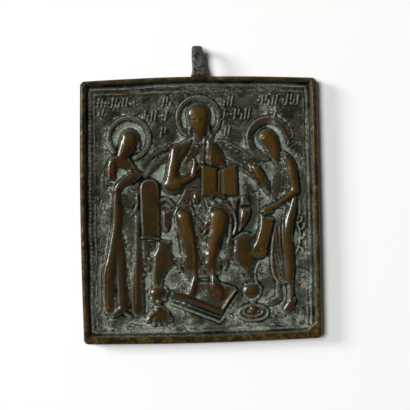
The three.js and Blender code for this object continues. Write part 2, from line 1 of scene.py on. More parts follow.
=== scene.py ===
# A small cast bronze icon with a suspension eye, lying on its back on a pale floor.
# The relief is carved as a height over the plate, in millimetres, and turned into one closed mesh.
import math
import bmesh
import bpy
import numpy as np
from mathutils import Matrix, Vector


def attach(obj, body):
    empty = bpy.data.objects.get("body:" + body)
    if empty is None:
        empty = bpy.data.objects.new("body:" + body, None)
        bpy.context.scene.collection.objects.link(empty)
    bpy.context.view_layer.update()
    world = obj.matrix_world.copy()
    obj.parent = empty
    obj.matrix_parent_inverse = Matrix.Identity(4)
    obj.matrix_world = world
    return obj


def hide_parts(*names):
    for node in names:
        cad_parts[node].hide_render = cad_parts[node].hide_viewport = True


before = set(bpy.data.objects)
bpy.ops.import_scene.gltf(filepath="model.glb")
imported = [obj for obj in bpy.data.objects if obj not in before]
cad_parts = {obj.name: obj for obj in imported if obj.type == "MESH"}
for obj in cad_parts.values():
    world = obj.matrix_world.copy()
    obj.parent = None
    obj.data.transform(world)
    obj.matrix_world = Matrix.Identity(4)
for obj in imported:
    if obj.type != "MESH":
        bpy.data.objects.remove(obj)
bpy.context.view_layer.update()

mm = 0.001


plate = dict(
    width=54.0,
    height=59.5,
    ground=2.0,  # thickness of the metal behind the figures
    cornerRadius=1.1,
    backRounding=0.3,
    bow=dict(top=0.75, right=0.1, bottom=0.4, left=0.4),  # how far each edge bulges
    taper=0.1,
    topSkew=0.05,
    bottomSkew=0.25,
    columns=280,  # quads across and up the face
    rows=312,
    finer=2,  # carving samples for each quad side
)
rim = dict(top=1.1, right=1.6, bottom=2.0, left=1.4, rise=1.5, cornerFillet=1.9)
border = dict(width=3.9, ridge=0.48)
carving = dict(
    rise=1.8,  # the highest relief over the ground
    soften=0.12,  # wear of every edge
    grain=0.045,  # roughness left by the mould
    blend=0.3,  # how much height two forms share where they run into each other
)

fieldWidth = plate["width"] - 2 * border["width"]
fieldHeight = plate["height"] - 2 * border["width"]
unit = fieldHeight / 100  # radii are hundredths of the field's height


def cloudOver(x, y, size, seed):
    # smooth noise from -1 to 1 with lumps of one size in mm
    lumps = np.random.RandomState(seed).uniform(-1, 1, (160, 160))
    u = (x / size) % 159
    v = (y / size) % 159
    i = np.floor(u).astype(int)
    j = np.floor(v).astype(int)
    u = u - i
    v = v - j
    u = u * u * (3 - 2 * u)
    v = v * v * (3 - 2 * v)
    i2 = (i + 1) % 160
    j2 = (j + 1) % 160
    low = lumps[j, i] * (1 - u) + lumps[j, i2] * u
    high = lumps[j2, i] * (1 - u) + lumps[j2, i2] * u
    return low * (1 - v) + high * v


def softened(values, sigma):
    # a blur of sigma mm over the fine grid, with its edges held
    reach = max(1, int(math.ceil(3 * sigma / cell)))
    offsets = np.arange(-reach, reach + 1)
    weights = np.exp(-0.5 * (offsets * cell / sigma) ** 2)
    weights /= weights.sum()
    for axis in (0, 1):
        count = values.shape[axis]
        padded = np.pad(values, [(reach, reach) if a == axis else (0, 0) for a in (0, 1)], mode="edge")
        total = 0
        for start, weight in enumerate(weights):
            part = padded[start:start + count] if axis == 0 else padded[:, start:start + count]
            total = total + weight * part
        values = total
    return values


def smoothStep(low, high, values):
    t = np.clip((values - low) / (high - low), 0, 1)
    return t * t * (3 - 2 * t)


# The face of the plate is a square sheet of samples, s across and t up, bent to the plate's outline.
def plateFace(columns, rows):
    s, t = np.meshgrid(np.linspace(-1, 1, columns + 1), np.linspace(-1, 1, rows + 1))
    halfWidth = plate["width"] / 2
    halfHeight = plate["height"] / 2
    ring = np.maximum(abs(s), abs(t))
    radius = plate["cornerRadius"] * np.clip((ring - 0.85) / 0.15, 0, 1) + 1e-6
    x = abs(s) * halfWidth
    y = abs(t) * halfHeight
    ways = ((y, x, halfHeight, halfWidth), (x, y, halfWidth, halfHeight))
    for along, across, alongHalf, acrossHalf in ways:
        corner = (across >= ring * acrossHalf - 1e-9) & (along > ring * alongHalf - radius)
        angle = (along - (ring * alongHalf - radius)) / radius * math.pi / 4
        rounded = ring * alongHalf - radius + radius * np.sin(angle)
        pulled = ring * acrossHalf - radius + radius * np.cos(angle)
        along[corner] = rounded[corner]
        across[corner] = pulled[corner]
    x = np.sign(s) * x
    y = np.sign(t) * y
    # how far each point is from each side, before the sides bow
    inset = dict(
        right=halfWidth * (1 - s),
        left=halfWidth * (1 + s),
        top=halfHeight * (1 - t),
        bottom=halfHeight * (1 + t),
    )
    # 0 on the outer edge, 1 where the rim ends and 2 where the picture field begins
    steps = []
    for side, depth in inset.items():
        fromRim = (depth - rim[side]) / (border["width"] - rim[side])
        steps.append(np.where(depth < rim[side], depth / rim[side], 1 + fromRim))
    mitre = 0.05  # how softly the steps of two sides meet in a corner
    step = -mitre * np.log(sum(np.exp(-np.clip(one, 0, 40) / mitre) for one in steps))
    bulge = dict(right=(x, 1, t), left=(x, -1, t), top=(y, 1, s), bottom=(y, -1, s))
    for side, (axis, sign, along) in bulge.items():
        share = np.clip(1 - (inset[side] - rim[side]) / (border["width"] - rim[side]), 0, 1)
        axis += sign * plate["bow"][side] * share * np.cos(along * math.pi / 2)
    x += -plate["taper"] * s * t
    y += s * plate["bottomSkew"] * (1 - t) / 2 - s * plate["topSkew"] * (1 + t) / 2
    return x, y, np.maximum(step, 0)


fineColumns = plate["columns"] * plate["finer"]
fineRows = plate["rows"] * plate["finer"]
gridX, gridY, gridStep = plateFace(fineColumns, fineRows)
cell = plate["width"] / fineColumns
print("sampled the plate's face", gridX.shape)


def cloud(size, seed, shift):
    # noise over the whole face, moved so that its coordinates stay positive
    return cloudOver(gridX + shift, gridY + shift, size, seed)


# Carving tools: each raises or cuts the height over the ground, kept in "figures".
figures = np.zeros_like(gridX)


def place(points):
    # from hundredths of the field, counted from its middle, to mm
    points = np.atleast_2d(np.array(points, float))
    return points * (fieldWidth / 100, unit)


def blockAround(low, high):
    # the block of samples that a box in mm reaches
    across = np.searchsorted(gridX[fineRows // 2], (low[0] - 1, high[0] + 1))
    up = np.searchsorted(gridY[:, fineColumns // 2], (low[1] - 1, high[1] + 1))
    return slice(max(0, up[0]), up[1] + 1), slice(max(0, across[0]), across[1] + 1)


def apply(block, shape, how):
    # works a tool's shape into the figures
    if how == "raise":
        # where two forms meet, the metal fills their corner a little
        before = figures[block]
        blend = carving["blend"]
        fillet = np.maximum(blend - abs(before - shape), 0) ** 2 / (4 * blend)
        figures[block] = np.maximum(before, shape) + fillet * (before > 0.05) * (shape > 0.05)
    elif how == "add":
        figures[block] += shape
    elif how == "cut":
        figures[block] = np.maximum(figures[block] - shape, -0.25)


def alongPath(path, radii, heights, spacing):
    # close points on a smooth path, and the radius and height at each
    points = place(path)
    last = len(points) - 1
    if last > 1:
        points = np.vstack([2 * points[0] - points[1], points, 2 * points[-1] - points[-2]])
    length = np.linalg.norm(np.diff(points, axis=0), axis=1).sum()
    t = np.linspace(0, 1, max(3, int(length / spacing)))
    if last == 1:
        dense = points[0] + t[:, None] * (points[1] - points[0])
    else:
        at = t * last
        k = np.minimum(at.astype(int), last - 1)
        f = (at - k)[:, None]
        a, b, c, d = (points[k + i] for i in range(4))
        dense = 0.5 * (
            2 * b + (c - a) * f + (2 * a - 5 * b + 4 * c - d) * f ** 2 + (3 * b - a - 3 * c + d) * f ** 3
        )

    def spread(values):
        values = np.atleast_1d(values)
        return np.interp(t, np.linspace(0, 1, len(values)), values)

    return dense, spread(radii) * unit, spread(heights) * carving["rise"]


def backOf(kind, q):
    # height of a section at q, the squared distance from its middle in radii
    inside = np.clip(1 - q, 0, 1)
    if kind == "round":
        return inside ** 0.42
    if kind == "full":
        return inside ** 0.3
    return inside ** 1.3  # soft


def stroke(path, radii, height, how="raise", back="round"):
    # a ridge or groove on a smooth path; radii and heights run from its start to its end
    thin = np.min(np.atleast_1d(radii)) * unit
    dense, r, h = alongPath(path, radii, height, min(0.25, max(0.08, thin * 0.3)))
    block = blockAround(dense.min(0) - r.max(), dense.max(0) + r.max())
    x = gridX[block]
    y = gridY[block]
    shape = np.zeros_like(x)
    for (cx, cy), radius, high in zip(dense, r, h):
        q = ((x - cx) ** 2 + (y - cy) ** 2) / radius ** 2
        near = q < 1
        shape[near] = np.maximum(shape[near], high * backOf(back, q[near]))
    apply(block, shape, how)


def dome(at, across, along, turn, height, how="raise", back="round"):
    # an oval boss or hollow, turned by so many degrees
    cx, cy = place(at)[0]
    a = across * unit
    b = along * unit
    reach = max(a, b)
    block = blockAround((cx - reach, cy - reach), (cx + reach, cy + reach))
    x = gridX[block] - cx
    y = gridY[block] - cy
    c = math.cos(math.radians(turn))
    s = math.sin(math.radians(turn))
    q = ((x * c + y * s) / a) ** 2 + ((y * c - x * s) / b) ** 2
    apply(block, height * carving["rise"] * backOf(back, q), how)


def slab(outline, height, chamfer=0.7, how="raise", crown=0.0):
    # a flat shape with a sloping edge, whose top may rise from its first point to the farthest one
    corners = place(outline)
    block = blockAround(corners.min(0), corners.max(0))
    x = gridX[block]
    y = gridY[block]
    nearest = np.full_like(x, 1e9)
    inside = np.zeros_like(x, bool)
    for (ax, ay), (bx, by) in zip(corners, np.roll(corners, -1, axis=0)):
        dx = bx - ax
        dy = by - ay
        f = np.clip(((x - ax) * dx + (y - ay) * dy) / (dx * dx + dy * dy), 0, 1)
        nearest = np.minimum(nearest, np.hypot(x - ax - f * dx, y - ay - f * dy))
        if ay != by:
            inside ^= ((ay > y) != (by > y)) & (x < dx * (y - ay) / dy + ax)
    start = corners[0]
    far = corners[np.argmax(np.linalg.norm(corners - start, axis=1))] - start
    share = np.clip(((x - start[0]) * far[0] + (y - start[1]) * far[1]) / (far @ far), 0, 1)
    heights = np.atleast_1d(height) * carving["rise"]
    top = heights[0] + (heights[-1] - heights[0]) * share
    edge = np.clip(nearest / (chamfer * unit), 0, 1)
    middle = crown * carving["rise"] * (1 - np.exp(-nearest / (3 * unit)))
    apply(block, np.where(inside, top * np.sqrt(1 - (1 - edge) ** 2) + middle, 0), how)


def arc(centre, radius, halfWidth, start, end, height, flat=1.0, how="raise", back="round"):
    # part of a ring, squashed up the picture by "flat"
    count = max(5, int(abs(end - start) / 12))
    angles = np.radians(np.linspace(start, end, count))
    path = [
        (centre[0] + radius * math.cos(a) * fieldHeight / fieldWidth, centre[1] + radius * flat * math.sin(a))
        for a in angles
    ]
    stroke(path, halfWidth, height, how, back)


def fold(path, width=0.45, depth=0.14):
    # a narrow valley between two folds of cloth
    stroke(path, width, depth, "cut", "soft")


def crease(path, width=0.5, height=0.12):
    # a narrow fold that stands up
    stroke(path, width, height, "add", "soft")


def halo(centre, radius, halfWidth, start, end):
    # a broad ring, slightly hollow, with a fine line round its outside and a sunk disk inside it
    dome(centre, radius - 0.5, radius - 0.5, 0, 0.16, "cut", "full")
    arc(centre, radius, halfWidth, start, end, 0.46)
    arc(centre, radius, halfWidth * 0.45, start, end, 0.06, how="cut", back="soft")
    arc(centre, radius + halfWidth * 0.8, 0.4, start, end, 0.1, how="add", back="soft")


def wornFace(at, size, lean, turned=0.0):
    # brow, eyes, nose and mouth on common proportions of a head, rubbed soft
    c = math.cos(math.radians(lean))
    s = math.sin(math.radians(lean))

    def on(across, up):
        across += turned
        x = (across * c - up * s) * size
        y = (across * s + up * c) * size
        return at[0] + x * fieldHeight / fieldWidth, at[1] + y

    for side in (-1, 1):
        dome(on(side * 0.33, 0.08), size * 0.17, size * 0.12, lean, 0.11, "cut", "soft")
        dome(on(side * 0.33, 0.07), size * 0.09, size * 0.055, lean, 0.05, "add", "soft")
    stroke([on(-0.5, 0.2), on(-0.25, 0.26), on(0, 0.2), on(0.25, 0.26), on(0.5, 0.2)],
           size * 0.09, 0.07, "add", "soft")
    stroke([on(0, 0.18), on(0, -0.16)], [size * 0.07, size * 0.13], 0.1, "add", "soft")
    stroke([on(-0.2, -0.36), on(0.2, -0.36)], size * 0.06, 0.07, "cut", "soft")
    stroke([on(-0.16, -0.44), on(0.16, -0.44)], size * 0.07, 0.05, "add", "soft")


def carveThrone():
    # curved back, one broad band on the right and two narrow ones on the left
    slab([(9.5, 29.4), (14.5, 29), (20.5, 26.4), (24.5, 23.4), (29.5, 21), (30, 11.5), (24.6, 15.4),
          (18.6, 19), (13, 24)], 0.2, 0.6)
    stroke([(8.6, 30.4), (13, 30), (17, 28.2), (21, 26), (24, 23.5), (28.2, 21.6)], 0.9, 0.36)
    stroke([(10, 27.2), (14, 26.8), (17, 25.4), (20.5, 22.8)], 0.55, 0.3)
    stroke([(18.4, 19.2), (22, 17.2), (25, 15.3), (28, 12.8), (29.8, 11)], 0.8, 0.36)
    slab([(-14.6, 29.4), (-22, 26.6), (-26.4, 23.4), (-29.6, 20), (-27.2, 15), (-23.6, 17.8), (-20, 20.6),
          (-14.4, 23.8)], 0.12, 0.7)
    stroke([(-15, 28.4), (-21.6, 25.6), (-25.6, 22.6), (-29, 19.6)], [1.3, 1.4], 0.36)
    stroke([(-14.8, 24.9), (-20.4, 21.4), (-23.6, 18.8), (-26.8, 16)], [1.5, 1.5], 0.36)
    fold([(-15.6, 26.4), (-20.8, 23.4), (-24.6, 20.4), (-27.6, 17.4)], 0.55, 0.16)
    fold([(-16, 28.8), (-22, 26), (-28, 20.8)], 0.3, 0.06)
    # cushion ends
    slab([(-19.5, 0.6), (-19.5, -5.6), (-18.9, -8.2), (-17.2, -9.8), (-15.6, -8.4), (-15, -5.6),
          (-15, 0.6)], 0.6, 1.6, crown=0.08)
    stroke([(-20, 3), (-18.8, 4.9), (-16.2, 4.9), (-13.4, 2.4)], 1, 0.5)
    stroke([(-19.8, 1.7), (-17.4, 2.6), (-15, 1.8)], 0.7, 0.44)
    slab([(14.2, 5.5), (15.8, -0.6), (17.4, -1.6), (18.9, 5.5)], 0.5, 1.1, crown=0.06)
    slab([(19.7, 6.2), (19.4, 1.9), (24.6, 1.9), (23.8, 4.4), (22, 6.2)], 0.46, 1.1, crown=0.08)
    slab([(19.2, 0.9), (17.8, -10), (19.4, -9.4), (21.6, -7.4), (23.8, -4.4), (24.8, -1.2), (24.6, 0.9)],
         0.5, 1.6, crown=0.1)
    dome((21.6, -2.6), 3, 5.4, -24, 0.24, "add", "soft")
    # seat ends behind the robe
    slab([(7.2, -21.2), (13.4, -21.2), (13, -26), (10.6, -26.6), (10.2, -24.6), (7.2, -24.4)], 0.5, 0.9)
    slab([(-13.8, -20.4), (-10.2, -21.4), (-9, -24.2), (-9, -27), (-12.2, -27.2), (-11.8, -24.4)], 0.42, 0.7)
    dome((-13.2, -21.4), 1.2, 0.9, 20, 0.52)
    # near leg: panel, beaded knob and fan-shaped foot
    slab([(-22, -12.8), (-15, -12.8), (-14.8, -19), (-12.4, -23), (-14.4, -24.6), (-17, -26.6),
          (-18.8, -29.2), (-19.4, -33.4), (-24.8, -33.4), (-24.8, -26), (-24.2, -19), (-22.4, -16)],
         0.54, 2, crown=0.08)
    dome((-20.6, -25), 4, 8.5, -8, 0.1, "add", "soft")
    stroke([(-25, -15.4), (-24.4, -18.6), (-25.8, -20.8), (-25.6, -24), (-27, -26)], [1.3, 1.1, 0.8], 0.34)
    dome((-21.6, -36), 4, 3.3, 0, 0.74)
    for u, v in ((-24.6, -38.6), (-21.6, -39.8), (-18.6, -38.7)):
        dome((u, v), 1.5, 1.3, 0, 0.6)
    stroke([(-18, -33.6), (-16.9, -35.6), (-17.9, -37.4)], 0.6, 0.5)
    stroke([(-25.3, -34), (-26.1, -36), (-25.3, -37.6)], 0.6, 0.46)
    slab([(-28.9, -47.5), (-27.6, -45.4), (-25.4, -43.4), (-22.4, -41.8), (-19.4, -42), (-16.6, -44),
          (-14.6, -47.4), (-15.4, -49), (-18, -48.6), (-19.4, -50), (-21.4, -49), (-23.6, -50.2),
          (-25, -48.6), (-27.4, -49.2)], 0.46, 1.2, crown=0.16)
    for u, v in ((-27.2, -48.2), (-23.9, -49.6), (-21.4, -49.4), (-18.6, -49.4), (-15.6, -48)):
        stroke([(-21.4, -43), (u * 0.75 - 5.35, v * 0.75 - 10.75), (u, v)], [0.7, 1.3, 1.1],
               [0.6, 0.68, 0.56])
    dome((-21.4, -42.2), 2.4, 1.2, 0, 0.66)
    # far leg: panel, ball between side lobes, and turned base
    slab([(15.8, -13.4), (17.8, -11.2), (21.6, -9.8), (26, -10.6), (27, -16), (26.2, -22), (25.6, -27),
          (24.8, -31.4), (21.6, -31.4), (20.2, -27.4), (18, -24.8), (15.6, -22.8), (15.2, -19)],
         0.52, 2, crown=0.06)
    dome((21.4, -19), 4.2, 8, 6, 0.1, "add", "soft")
    for k in range(8):
        dome((15.9 + 0.98 * k, -13 + 2.9 * math.sin(0.24 * k)), 0.5, 0.5, 0, 0.56)
    stroke([(28.6, -23.4), (26.8, -26), (26.2, -29), (27.2, -32.2)], 0.6, 0.42)
    stroke([(14.4, -22.8), (17.6, -25.6), (19.8, -28.2), (21, -32)], 0.45, 0.3)
    dome((24.2, -35.6), 3.9, 3.4, 0, 0.78)
    for k in range(9):
        bead = (24.2 + 3 * math.cos(2.4 * k), -35.8 + 2.1 * math.sin(2.4 * k))
        dome(bead, 0.7, 0.6, 0, 0.08, "add", "soft")
    stroke([(26.8, -32.4), (28.6, -34.2), (28.9, -36.6), (27.4, -38.8)], 0.75, 0.5)
    stroke([(21.6, -32.8), (20.4, -35.2), (21.2, -38.4)], 0.65, 0.46)
    stroke([(21.8, -39), (24.4, -39.8), (27, -38.9)], 0.6, 0.44)
    slab([(23.4, -39.4), (26.6, -39.4), (26.2, -41.8), (23.8, -41.8)], 0.42, 0.6)
    dome((25, -45.4), 7.2, 3.9, 0, 0.34, back="full")
    arc((25.1, -45.6), 6.4, 0.75, 0, 360, 0.54, 0.5)
    arc((25, -44.6), 4.2, 0.7, 0, 360, 0.66, 0.56)
    dome((24.9, -43.8), 2.1, 1.8, 0, 0.8)
    stroke([(19.2, -43.6), (18, -45.4), (18.8, -47.2)], 0.4, 0.2)


def carveFootstool():
    slab([(8.9, -45.3), (17, -35.2), (16.6, -34), (10, -32), (-10.3, -31), (-14.8, -37)], [0.5, 0.36], 0.45)
    slab([(9, -45), (-15, -37.2), (-15.2, -40.8), (8.8, -49.9)], 0.1, 0.3)
    slab([(8.8, -45), (8.9, -49.9), (16.6, -38.2), (17.1, -35.6)], 0.14, 0.3)
    # bevel along the near edge, deep gap under it and two mouldings
    stroke([(-14.3, -36.6), (-8, -38.7), (0, -41.5), (8.4, -44.5)], 1.3, [0.9, 0.94, 0.9])
    stroke([(9.3, -44.5), (13, -40), (16.8, -35.6)], 0.8, 0.78)
    stroke([(-15, -40.9), (-4, -44.9), (8.6, -49.4)], 0.6, 0.5)
    stroke([(9.6, -48.6), (13.4, -42.6), (17.2, -37.4)], 0.5, 0.46)
    stroke([(-14.8, -38.9), (-4, -42.8), (8.6, -47.3)], 1, 0.6, "cut", "full")
    stroke([(10.2, -46.4), (13.6, -41), (17.2, -36.4)], 0.7, 0.5, "cut", "full")
    fold([(-11.8, -34.4), (-2, -37.7), (8, -41.2), (14.4, -34.8)], 0.6, 0.1)


def carveEnthroned():
    halo((-0.3, 40.8), 9.1, 1.15, -52, 232)
    # mass of the body, and the mantle over both shoulders
    slab([(-6, 31.4), (0, 30), (5.4, 31), (10.4, 26.6), (13, 19.4), (12, 4), (-8.4, 4), (-9, 12), (-11, 18),
          (-13, 23), (-12, 28)], 0.36, 1.4)
    slab([(-3.8, 32), (-8, 30.8), (-12.2, 28.2), (-14, 25), (-14.2, 21.6), (-9.6, 20.2), (-7, 23),
          (-3.6, 27.4)], 0.74, 2.2)
    slab([(-4.4, 28.4), (0.4, 28.8), (0.2, 25.4), (-3.4, 22.2), (-7.6, 20.2), (-8.8, 21.4)], 0.56, 1.4)
    fold([(-3.4, 30.4), (-5.4, 26.8), (-8.8, 22)], 0.5, 0.16)
    fold([(-7.4, 29.6), (-9.8, 25.6), (-11.2, 20.6)], 0.45, 0.08)
    fold([(-1.4, 28), (-3.4, 25), (-6, 22.4)], 0.4, 0.08)
    slab([(3.2, 32), (7.4, 30.6), (10.6, 26.8), (12.2, 23), (13, 19), (4.6, 18.8), (3.4, 22), (3, 27)],
         0.7, 2.4)
    for k, u in enumerate((5.2, 6.8, 8.4, 10, 11.5)):
        fold([(u - 0.6, 24.6 - 0.5 * k), (u - 0.1, 19)], 0.42, 0.11)
    fold([(5.4, 30), (4.9, 25.4), (4.6, 21)], 0.45, 0.06)
    stroke([(2.4, 31.4), (2.1, 26), (1.7, 20.6)], [0.8, 1.1, 1], 0.56)
    stroke([(0.6, 29.4), (0.5, 24), (-0.4, 20.4)], [0.6, 0.8, 0.6], 0.46)
    slab([(12.8, 22.2), (17.4, 20.8), (17, 20), (13.2, 19.4)], 0.44, 0.6)
    # hair, head and beard
    stroke([(3.9, 37.6), (4.6, 35), (5.8, 32.6)], [1.2, 1], [0.6, 0.46])
    stroke([(-3.8, 37.6), (-4.6, 35.4), (-4.9, 33.8)], [1.2, 0.9], [0.6, 0.44])
    stroke([(-0.3, 42.2), (-0.2, 39.2), (0, 36.4), (-0.2, 33.6), (-0.4, 31.8)], [5.3, 4.8, 3.6, 2.3, 0.9],
           [0.98, 0.95, 0.88, 0.76, 0.56])
    fold([(-4.6, 41), (-3.8, 38), (-2.8, 35)], 0.35, 0.05)
    fold([(4, 41), (3.5, 38), (2.6, 35)], 0.35, 0.05)
    wornFace((-0.1, 39.6), 4.9, 0)
    fold([(-0.1, 35.8), (-0.2, 33.4), (-0.2, 30.8)], 0.35, 0.09)
    stroke([(-2.9, 32), (-1.4, 29.6), (0.2, 28.4), (1.6, 30.2), (2.4, 32.2)], 0.5, 0.44)
    # near arm, elbow and blessing hand
    stroke([(-11.4, 26.4), (-12, 22.4), (-13.2, 18.4), (-14.2, 14)], [3, 3.1, 3, 2.9],
           [0.76, 0.85, 0.9, 0.95])
    dome((-12.9, 11.8), 5.4, 4.3, 14, 0.98)
    stroke([(-12, 12.6), (-8.6, 13.2), (-5.2, 14.4), (-2.6, 15.8)], [2.8, 2.1, 1.8, 1.9], [0.94, 0.88, 0.84])
    stroke([(-3.4, 15.6), (-2.7, 18.2), (-2.3, 20.6)], [1.8, 2.1, 1.3], [0.84, 0.86, 0.8])
    stroke([(-2.6, 20), (-2.9, 22.6)], [0.9, 0.6], 0.76)
    stroke([(-0.8, 18.2), (0, 19.8)], [1.1, 0.7], 0.8)
    fold([(-3.6, 19.6), (-3.9, 17.2)], 0.28, 0.06)
    fold([(-2, 20.6), (-1.7, 18)], 0.28, 0.07)
    fold([(-9.4, 15.2), (-8.8, 11)], 0.35, 0.06)
    fold([(-5, 16.2), (-4.4, 13)], 0.35, 0.07)
    fold([(-13.8, 19.6), (-11.2, 17)], 0.4, 0.06)
    fold([(-10.6, 25.6), (-10.4, 21), (-10.8, 17)], 0.4, 0.07)
    fold([(-15.6, 14.6), (-12.6, 13.4), (-9.6, 13.6)], 0.4, 0.06)
    # waist, sash and folds of the lap
    stroke([(-7.4, 10.9), (-4.5, 11.3), (-1, 10.9)], 0.55, 0.5)
    stroke([(-7.2, 9), (-4.4, 9.2), (-1, 8.8)], 0.5, 0.5)
    fold([(-7, 10), (-4.4, 10.2), (-1, 9.8)], 0.45, 0.16)
    slab([(-11, 4), (-7, 8.6), (0, 8), (10, 6), (15.4, 0), (16.4, -4), (14, -9), (-12, -9), (-13, -1)],
         0.3, 1.2)
    for path in (
        [(-7.6, 8.6), (-9.8, 4.6), (-12.4, 1.4)],
        [(-6.4, 8.8), (-8, 5), (-9, 3)],
        [(-5.2, 8.8), (-6, 5.2), (-6.4, 3.2)],
        [(-4, 8.4), (-4.4, 5), (-4.2, 2)],
        [(0.6, 6), (1.6, 3), (2.2, -1)],
        [(2.2, 5.8), (3.8, 3.4), (4.2, 1)],
        [(4.4, 5.4), (6.6, 4), (9, 3.6)],
        [(7.4, 5.2), (10.6, 4.4), (13.6, 2.6)],
    ):
        stroke(path, [0.45, 0.65, 0.45], 0.46)
    dome((-1.8, 5.4), 1.8, 3.2, 4, 0.66)
    # mantle drawn over the knees
    stroke([(-12.6, -1.4), (-11.6, 0.8), (-9, 2.4), (-5.8, 2), (-3.8, -0.2), (-3.4, -2)], 0.75, 0.62)
    stroke([(-11.6, -2.6), (-10.6, -0.2), (-8.4, 1.1), (-6.2, 0.8)], 0.5, 0.62)
    stroke([(4.4, -1), (5.4, 1.4), (8.6, 2.6), (12.6, 2.2), (15.4, 0), (17, -3.4), (17.2, -7),
            (16.2, -10.6)], 0.8, 0.58)
    stroke([(5.8, -0.8), (8.4, 0.8), (11.8, 0.6), (14, -1.6), (14.9, -5)], 0.55, 0.58)
    # cloth between and beside the legs
    slab([(-12.4, -3), (16.2, -3), (15.2, -11), (12.6, -20.4), (8.6, -24), (-8, -24.4), (-9.6, -18)],
         0.24, 0.9)
    # knees and shins
    stroke([(-8.1, -3), (-7, -8), (-5.7, -13), (-5, -18), (-5, -22.8)], [3.7, 3.6, 3.6, 3.8, 4.4],
           [1, 0.93, 0.84, 0.74, 0.62])
    stroke([(-5.2, -8), (-4, -14), (-3.4, -20), (-3.3, -24)], [1, 1.4, 1.3, 1.2], [0.9, 0.86, 0.8, 0.72])
    stroke([(8.8, -3.2), (8.2, -7.4), (7.1, -11.4), (6.2, -15.4), (5.5, -19), (4.8, -23.4)],
           [4.5, 4, 3.6, 3.1, 2.9, 2.9], [1, 0.95, 0.88, 0.82, 0.75, 0.64])
    dome((9.4, -2.6), 3.4, 2.9, -20, 0.97)
    fold([(-10.8, -5), (-9.3, -12), (-8.2, -20)], 0.4, 0.1)
    fold([(-7.6, -12), (-6.6, -18), (-6.3, -23)], 0.45, 0.06)
    fold([(5.4, -8), (4.9, -14), (4.4, -20)], 0.35, 0.07)
    fold([(9, -12), (7.6, -17), (6.6, -22)], 0.35, 0.06)
    # folds that hang between the knees
    stroke([(-3.8, -2.4), (-1.2, -4.2), (0.9, -7.8), (2, -7), (3.6, -4.6)], 0.6, 0.56)
    stroke([(-3.4, -4.6), (-1.7, -7.4), (0.2, -10.9), (1.4, -10), (3.2, -7.6)], 0.6, 0.54)
    stroke([(-2.4, -8.4), (-0.6, -11.4), (0.7, -13.4), (2.8, -11.2)], 0.55, 0.5)
    stroke([(-1.6, -12.4), (0, -15.6), (1.2, -16.8), (2.6, -15.2)], 0.5, 0.42)
    stroke([(-2, -10.4), (-1.2, -15), (-0.2, -19.4), (0.8, -22.5), (1.8, -24.2)], 0.5, 0.46)
    stroke([(2.6, -16.6), (2, -20), (2.2, -23)], 0.45, 0.4)
    dome((2, -16), 0.6, 0.6, 0, 0.6)
    dome((2.6, -19.6), 0.6, 0.6, 0, 0.6)
    # outer garment beside the shins
    stroke([(-12.2, -3.2), (-10.9, -9.2), (-9.7, -15), (-9, -20.6)], 0.6, 0.44)
    stroke([(-13, -6), (-12, -12), (-11.2, -18)], 0.5, 0.3)
    stroke([(12.1, -5.4), (11.6, -12), (11.2, -18), (12.2, -21.6)], 0.55, 0.44)
    stroke([(14.6, -6.6), (14.2, -12), (13.8, -16), (13.8, -20.4)], [0.8, 1.2, 1.8, 1.9], 0.52)
    stroke([(9.8, -9), (9, -14), (8.4, -20)], 0.5, 0.34)
    # hems
    stroke([(-9.2, -22.8), (-7.4, -23.8), (-5, -24), (-2, -24.2), (-0.8, -23)], 0.8, 0.52)
    stroke([(2.4, -23.6), (5, -24.4), (7.4, -24)], 0.8, 0.52)
    # under-robe, ankles and feet
    slab([(-9, -24.2), (-4.4, -24.2), (-4.4, -29.2), (-8.4, -29.4)], 0.4, 0.6)
    slab([(-2.6, -24), (9, -24), (9.4, -28.4), (4.7, -29.5), (-2.4, -29.8)], 0.4, 0.6)
    stroke([(-1.6, -25.6), (1, -27.4), (4, -25.4)], 0.45, 0.42)
    stroke([(-1.4, -28.2), (1.4, -28.9), (4.2, -28.2)], 0.4, 0.38)
    stroke([(-8.2, -25.6), (-6, -26.2)], 0.4, 0.36)
    stroke([(-3.4, -24), (-3.4, -30.8)], 1.4, 0.66)
    stroke([(5.8, -24), (5.8, -30.4)], 1.2, 0.56)
    stroke([(-3.6, -30), (-4.3, -33.4), (-4.9, -36.6)], [1.5, 2.1, 2.3], [0.66, 0.78, 0.74])
    stroke([(5.6, -29.8), (6.6, -33.2), (8.2, -36), (9, -37.6)], [1.4, 2.4, 2.7, 2], [0.62, 0.8, 0.78, 0.74])
    for k in range(3):
        fold([(-5.9 + 0.75 * k, -36), (-6.2 + 0.8 * k, -37.8)], 0.22, 0.07)
        fold([(7.2 + 0.9 * k, -37.2 + 0.4 * k), (7.5 + 0.9 * k, -39 + 0.4 * k)], 0.22, 0.07)


def carveBook():
    slab([(0.4, 19.8), (0.4, 6.4), (8.6, 6), (8.6, 17.8)], [0.92, 0.74], 0.5)
    slab([(18.4, 6.6), (18.2, 20.3), (12.6, 18.9), (8.4, 17.3), (8.4, 6.2)], [0.86, 0.84], 0.5)
    slab([(8.8, 18.6), (11.4, 19), (11.4, 6.4), (8.8, 5.6)], 0.14, 2, "cut")
    fold([(8.6, 18), (8.6, 6)], 0.5, 0.14)
    stroke([(0.6, 19.9), (4.4, 19.1), (8.4, 18)], 0.4, 0.96)
    stroke([(5.6, 6), (8.2, 7.6), (9.4, 6.6), (11.6, 5.6)], [1, 1.3, 1], 0.8)
    fold([(8, 6.6), (8.6, 4.8)], 0.25, 0.06)
    fold([(9.6, 6.4), (10, 4.6)], 0.25, 0.06)


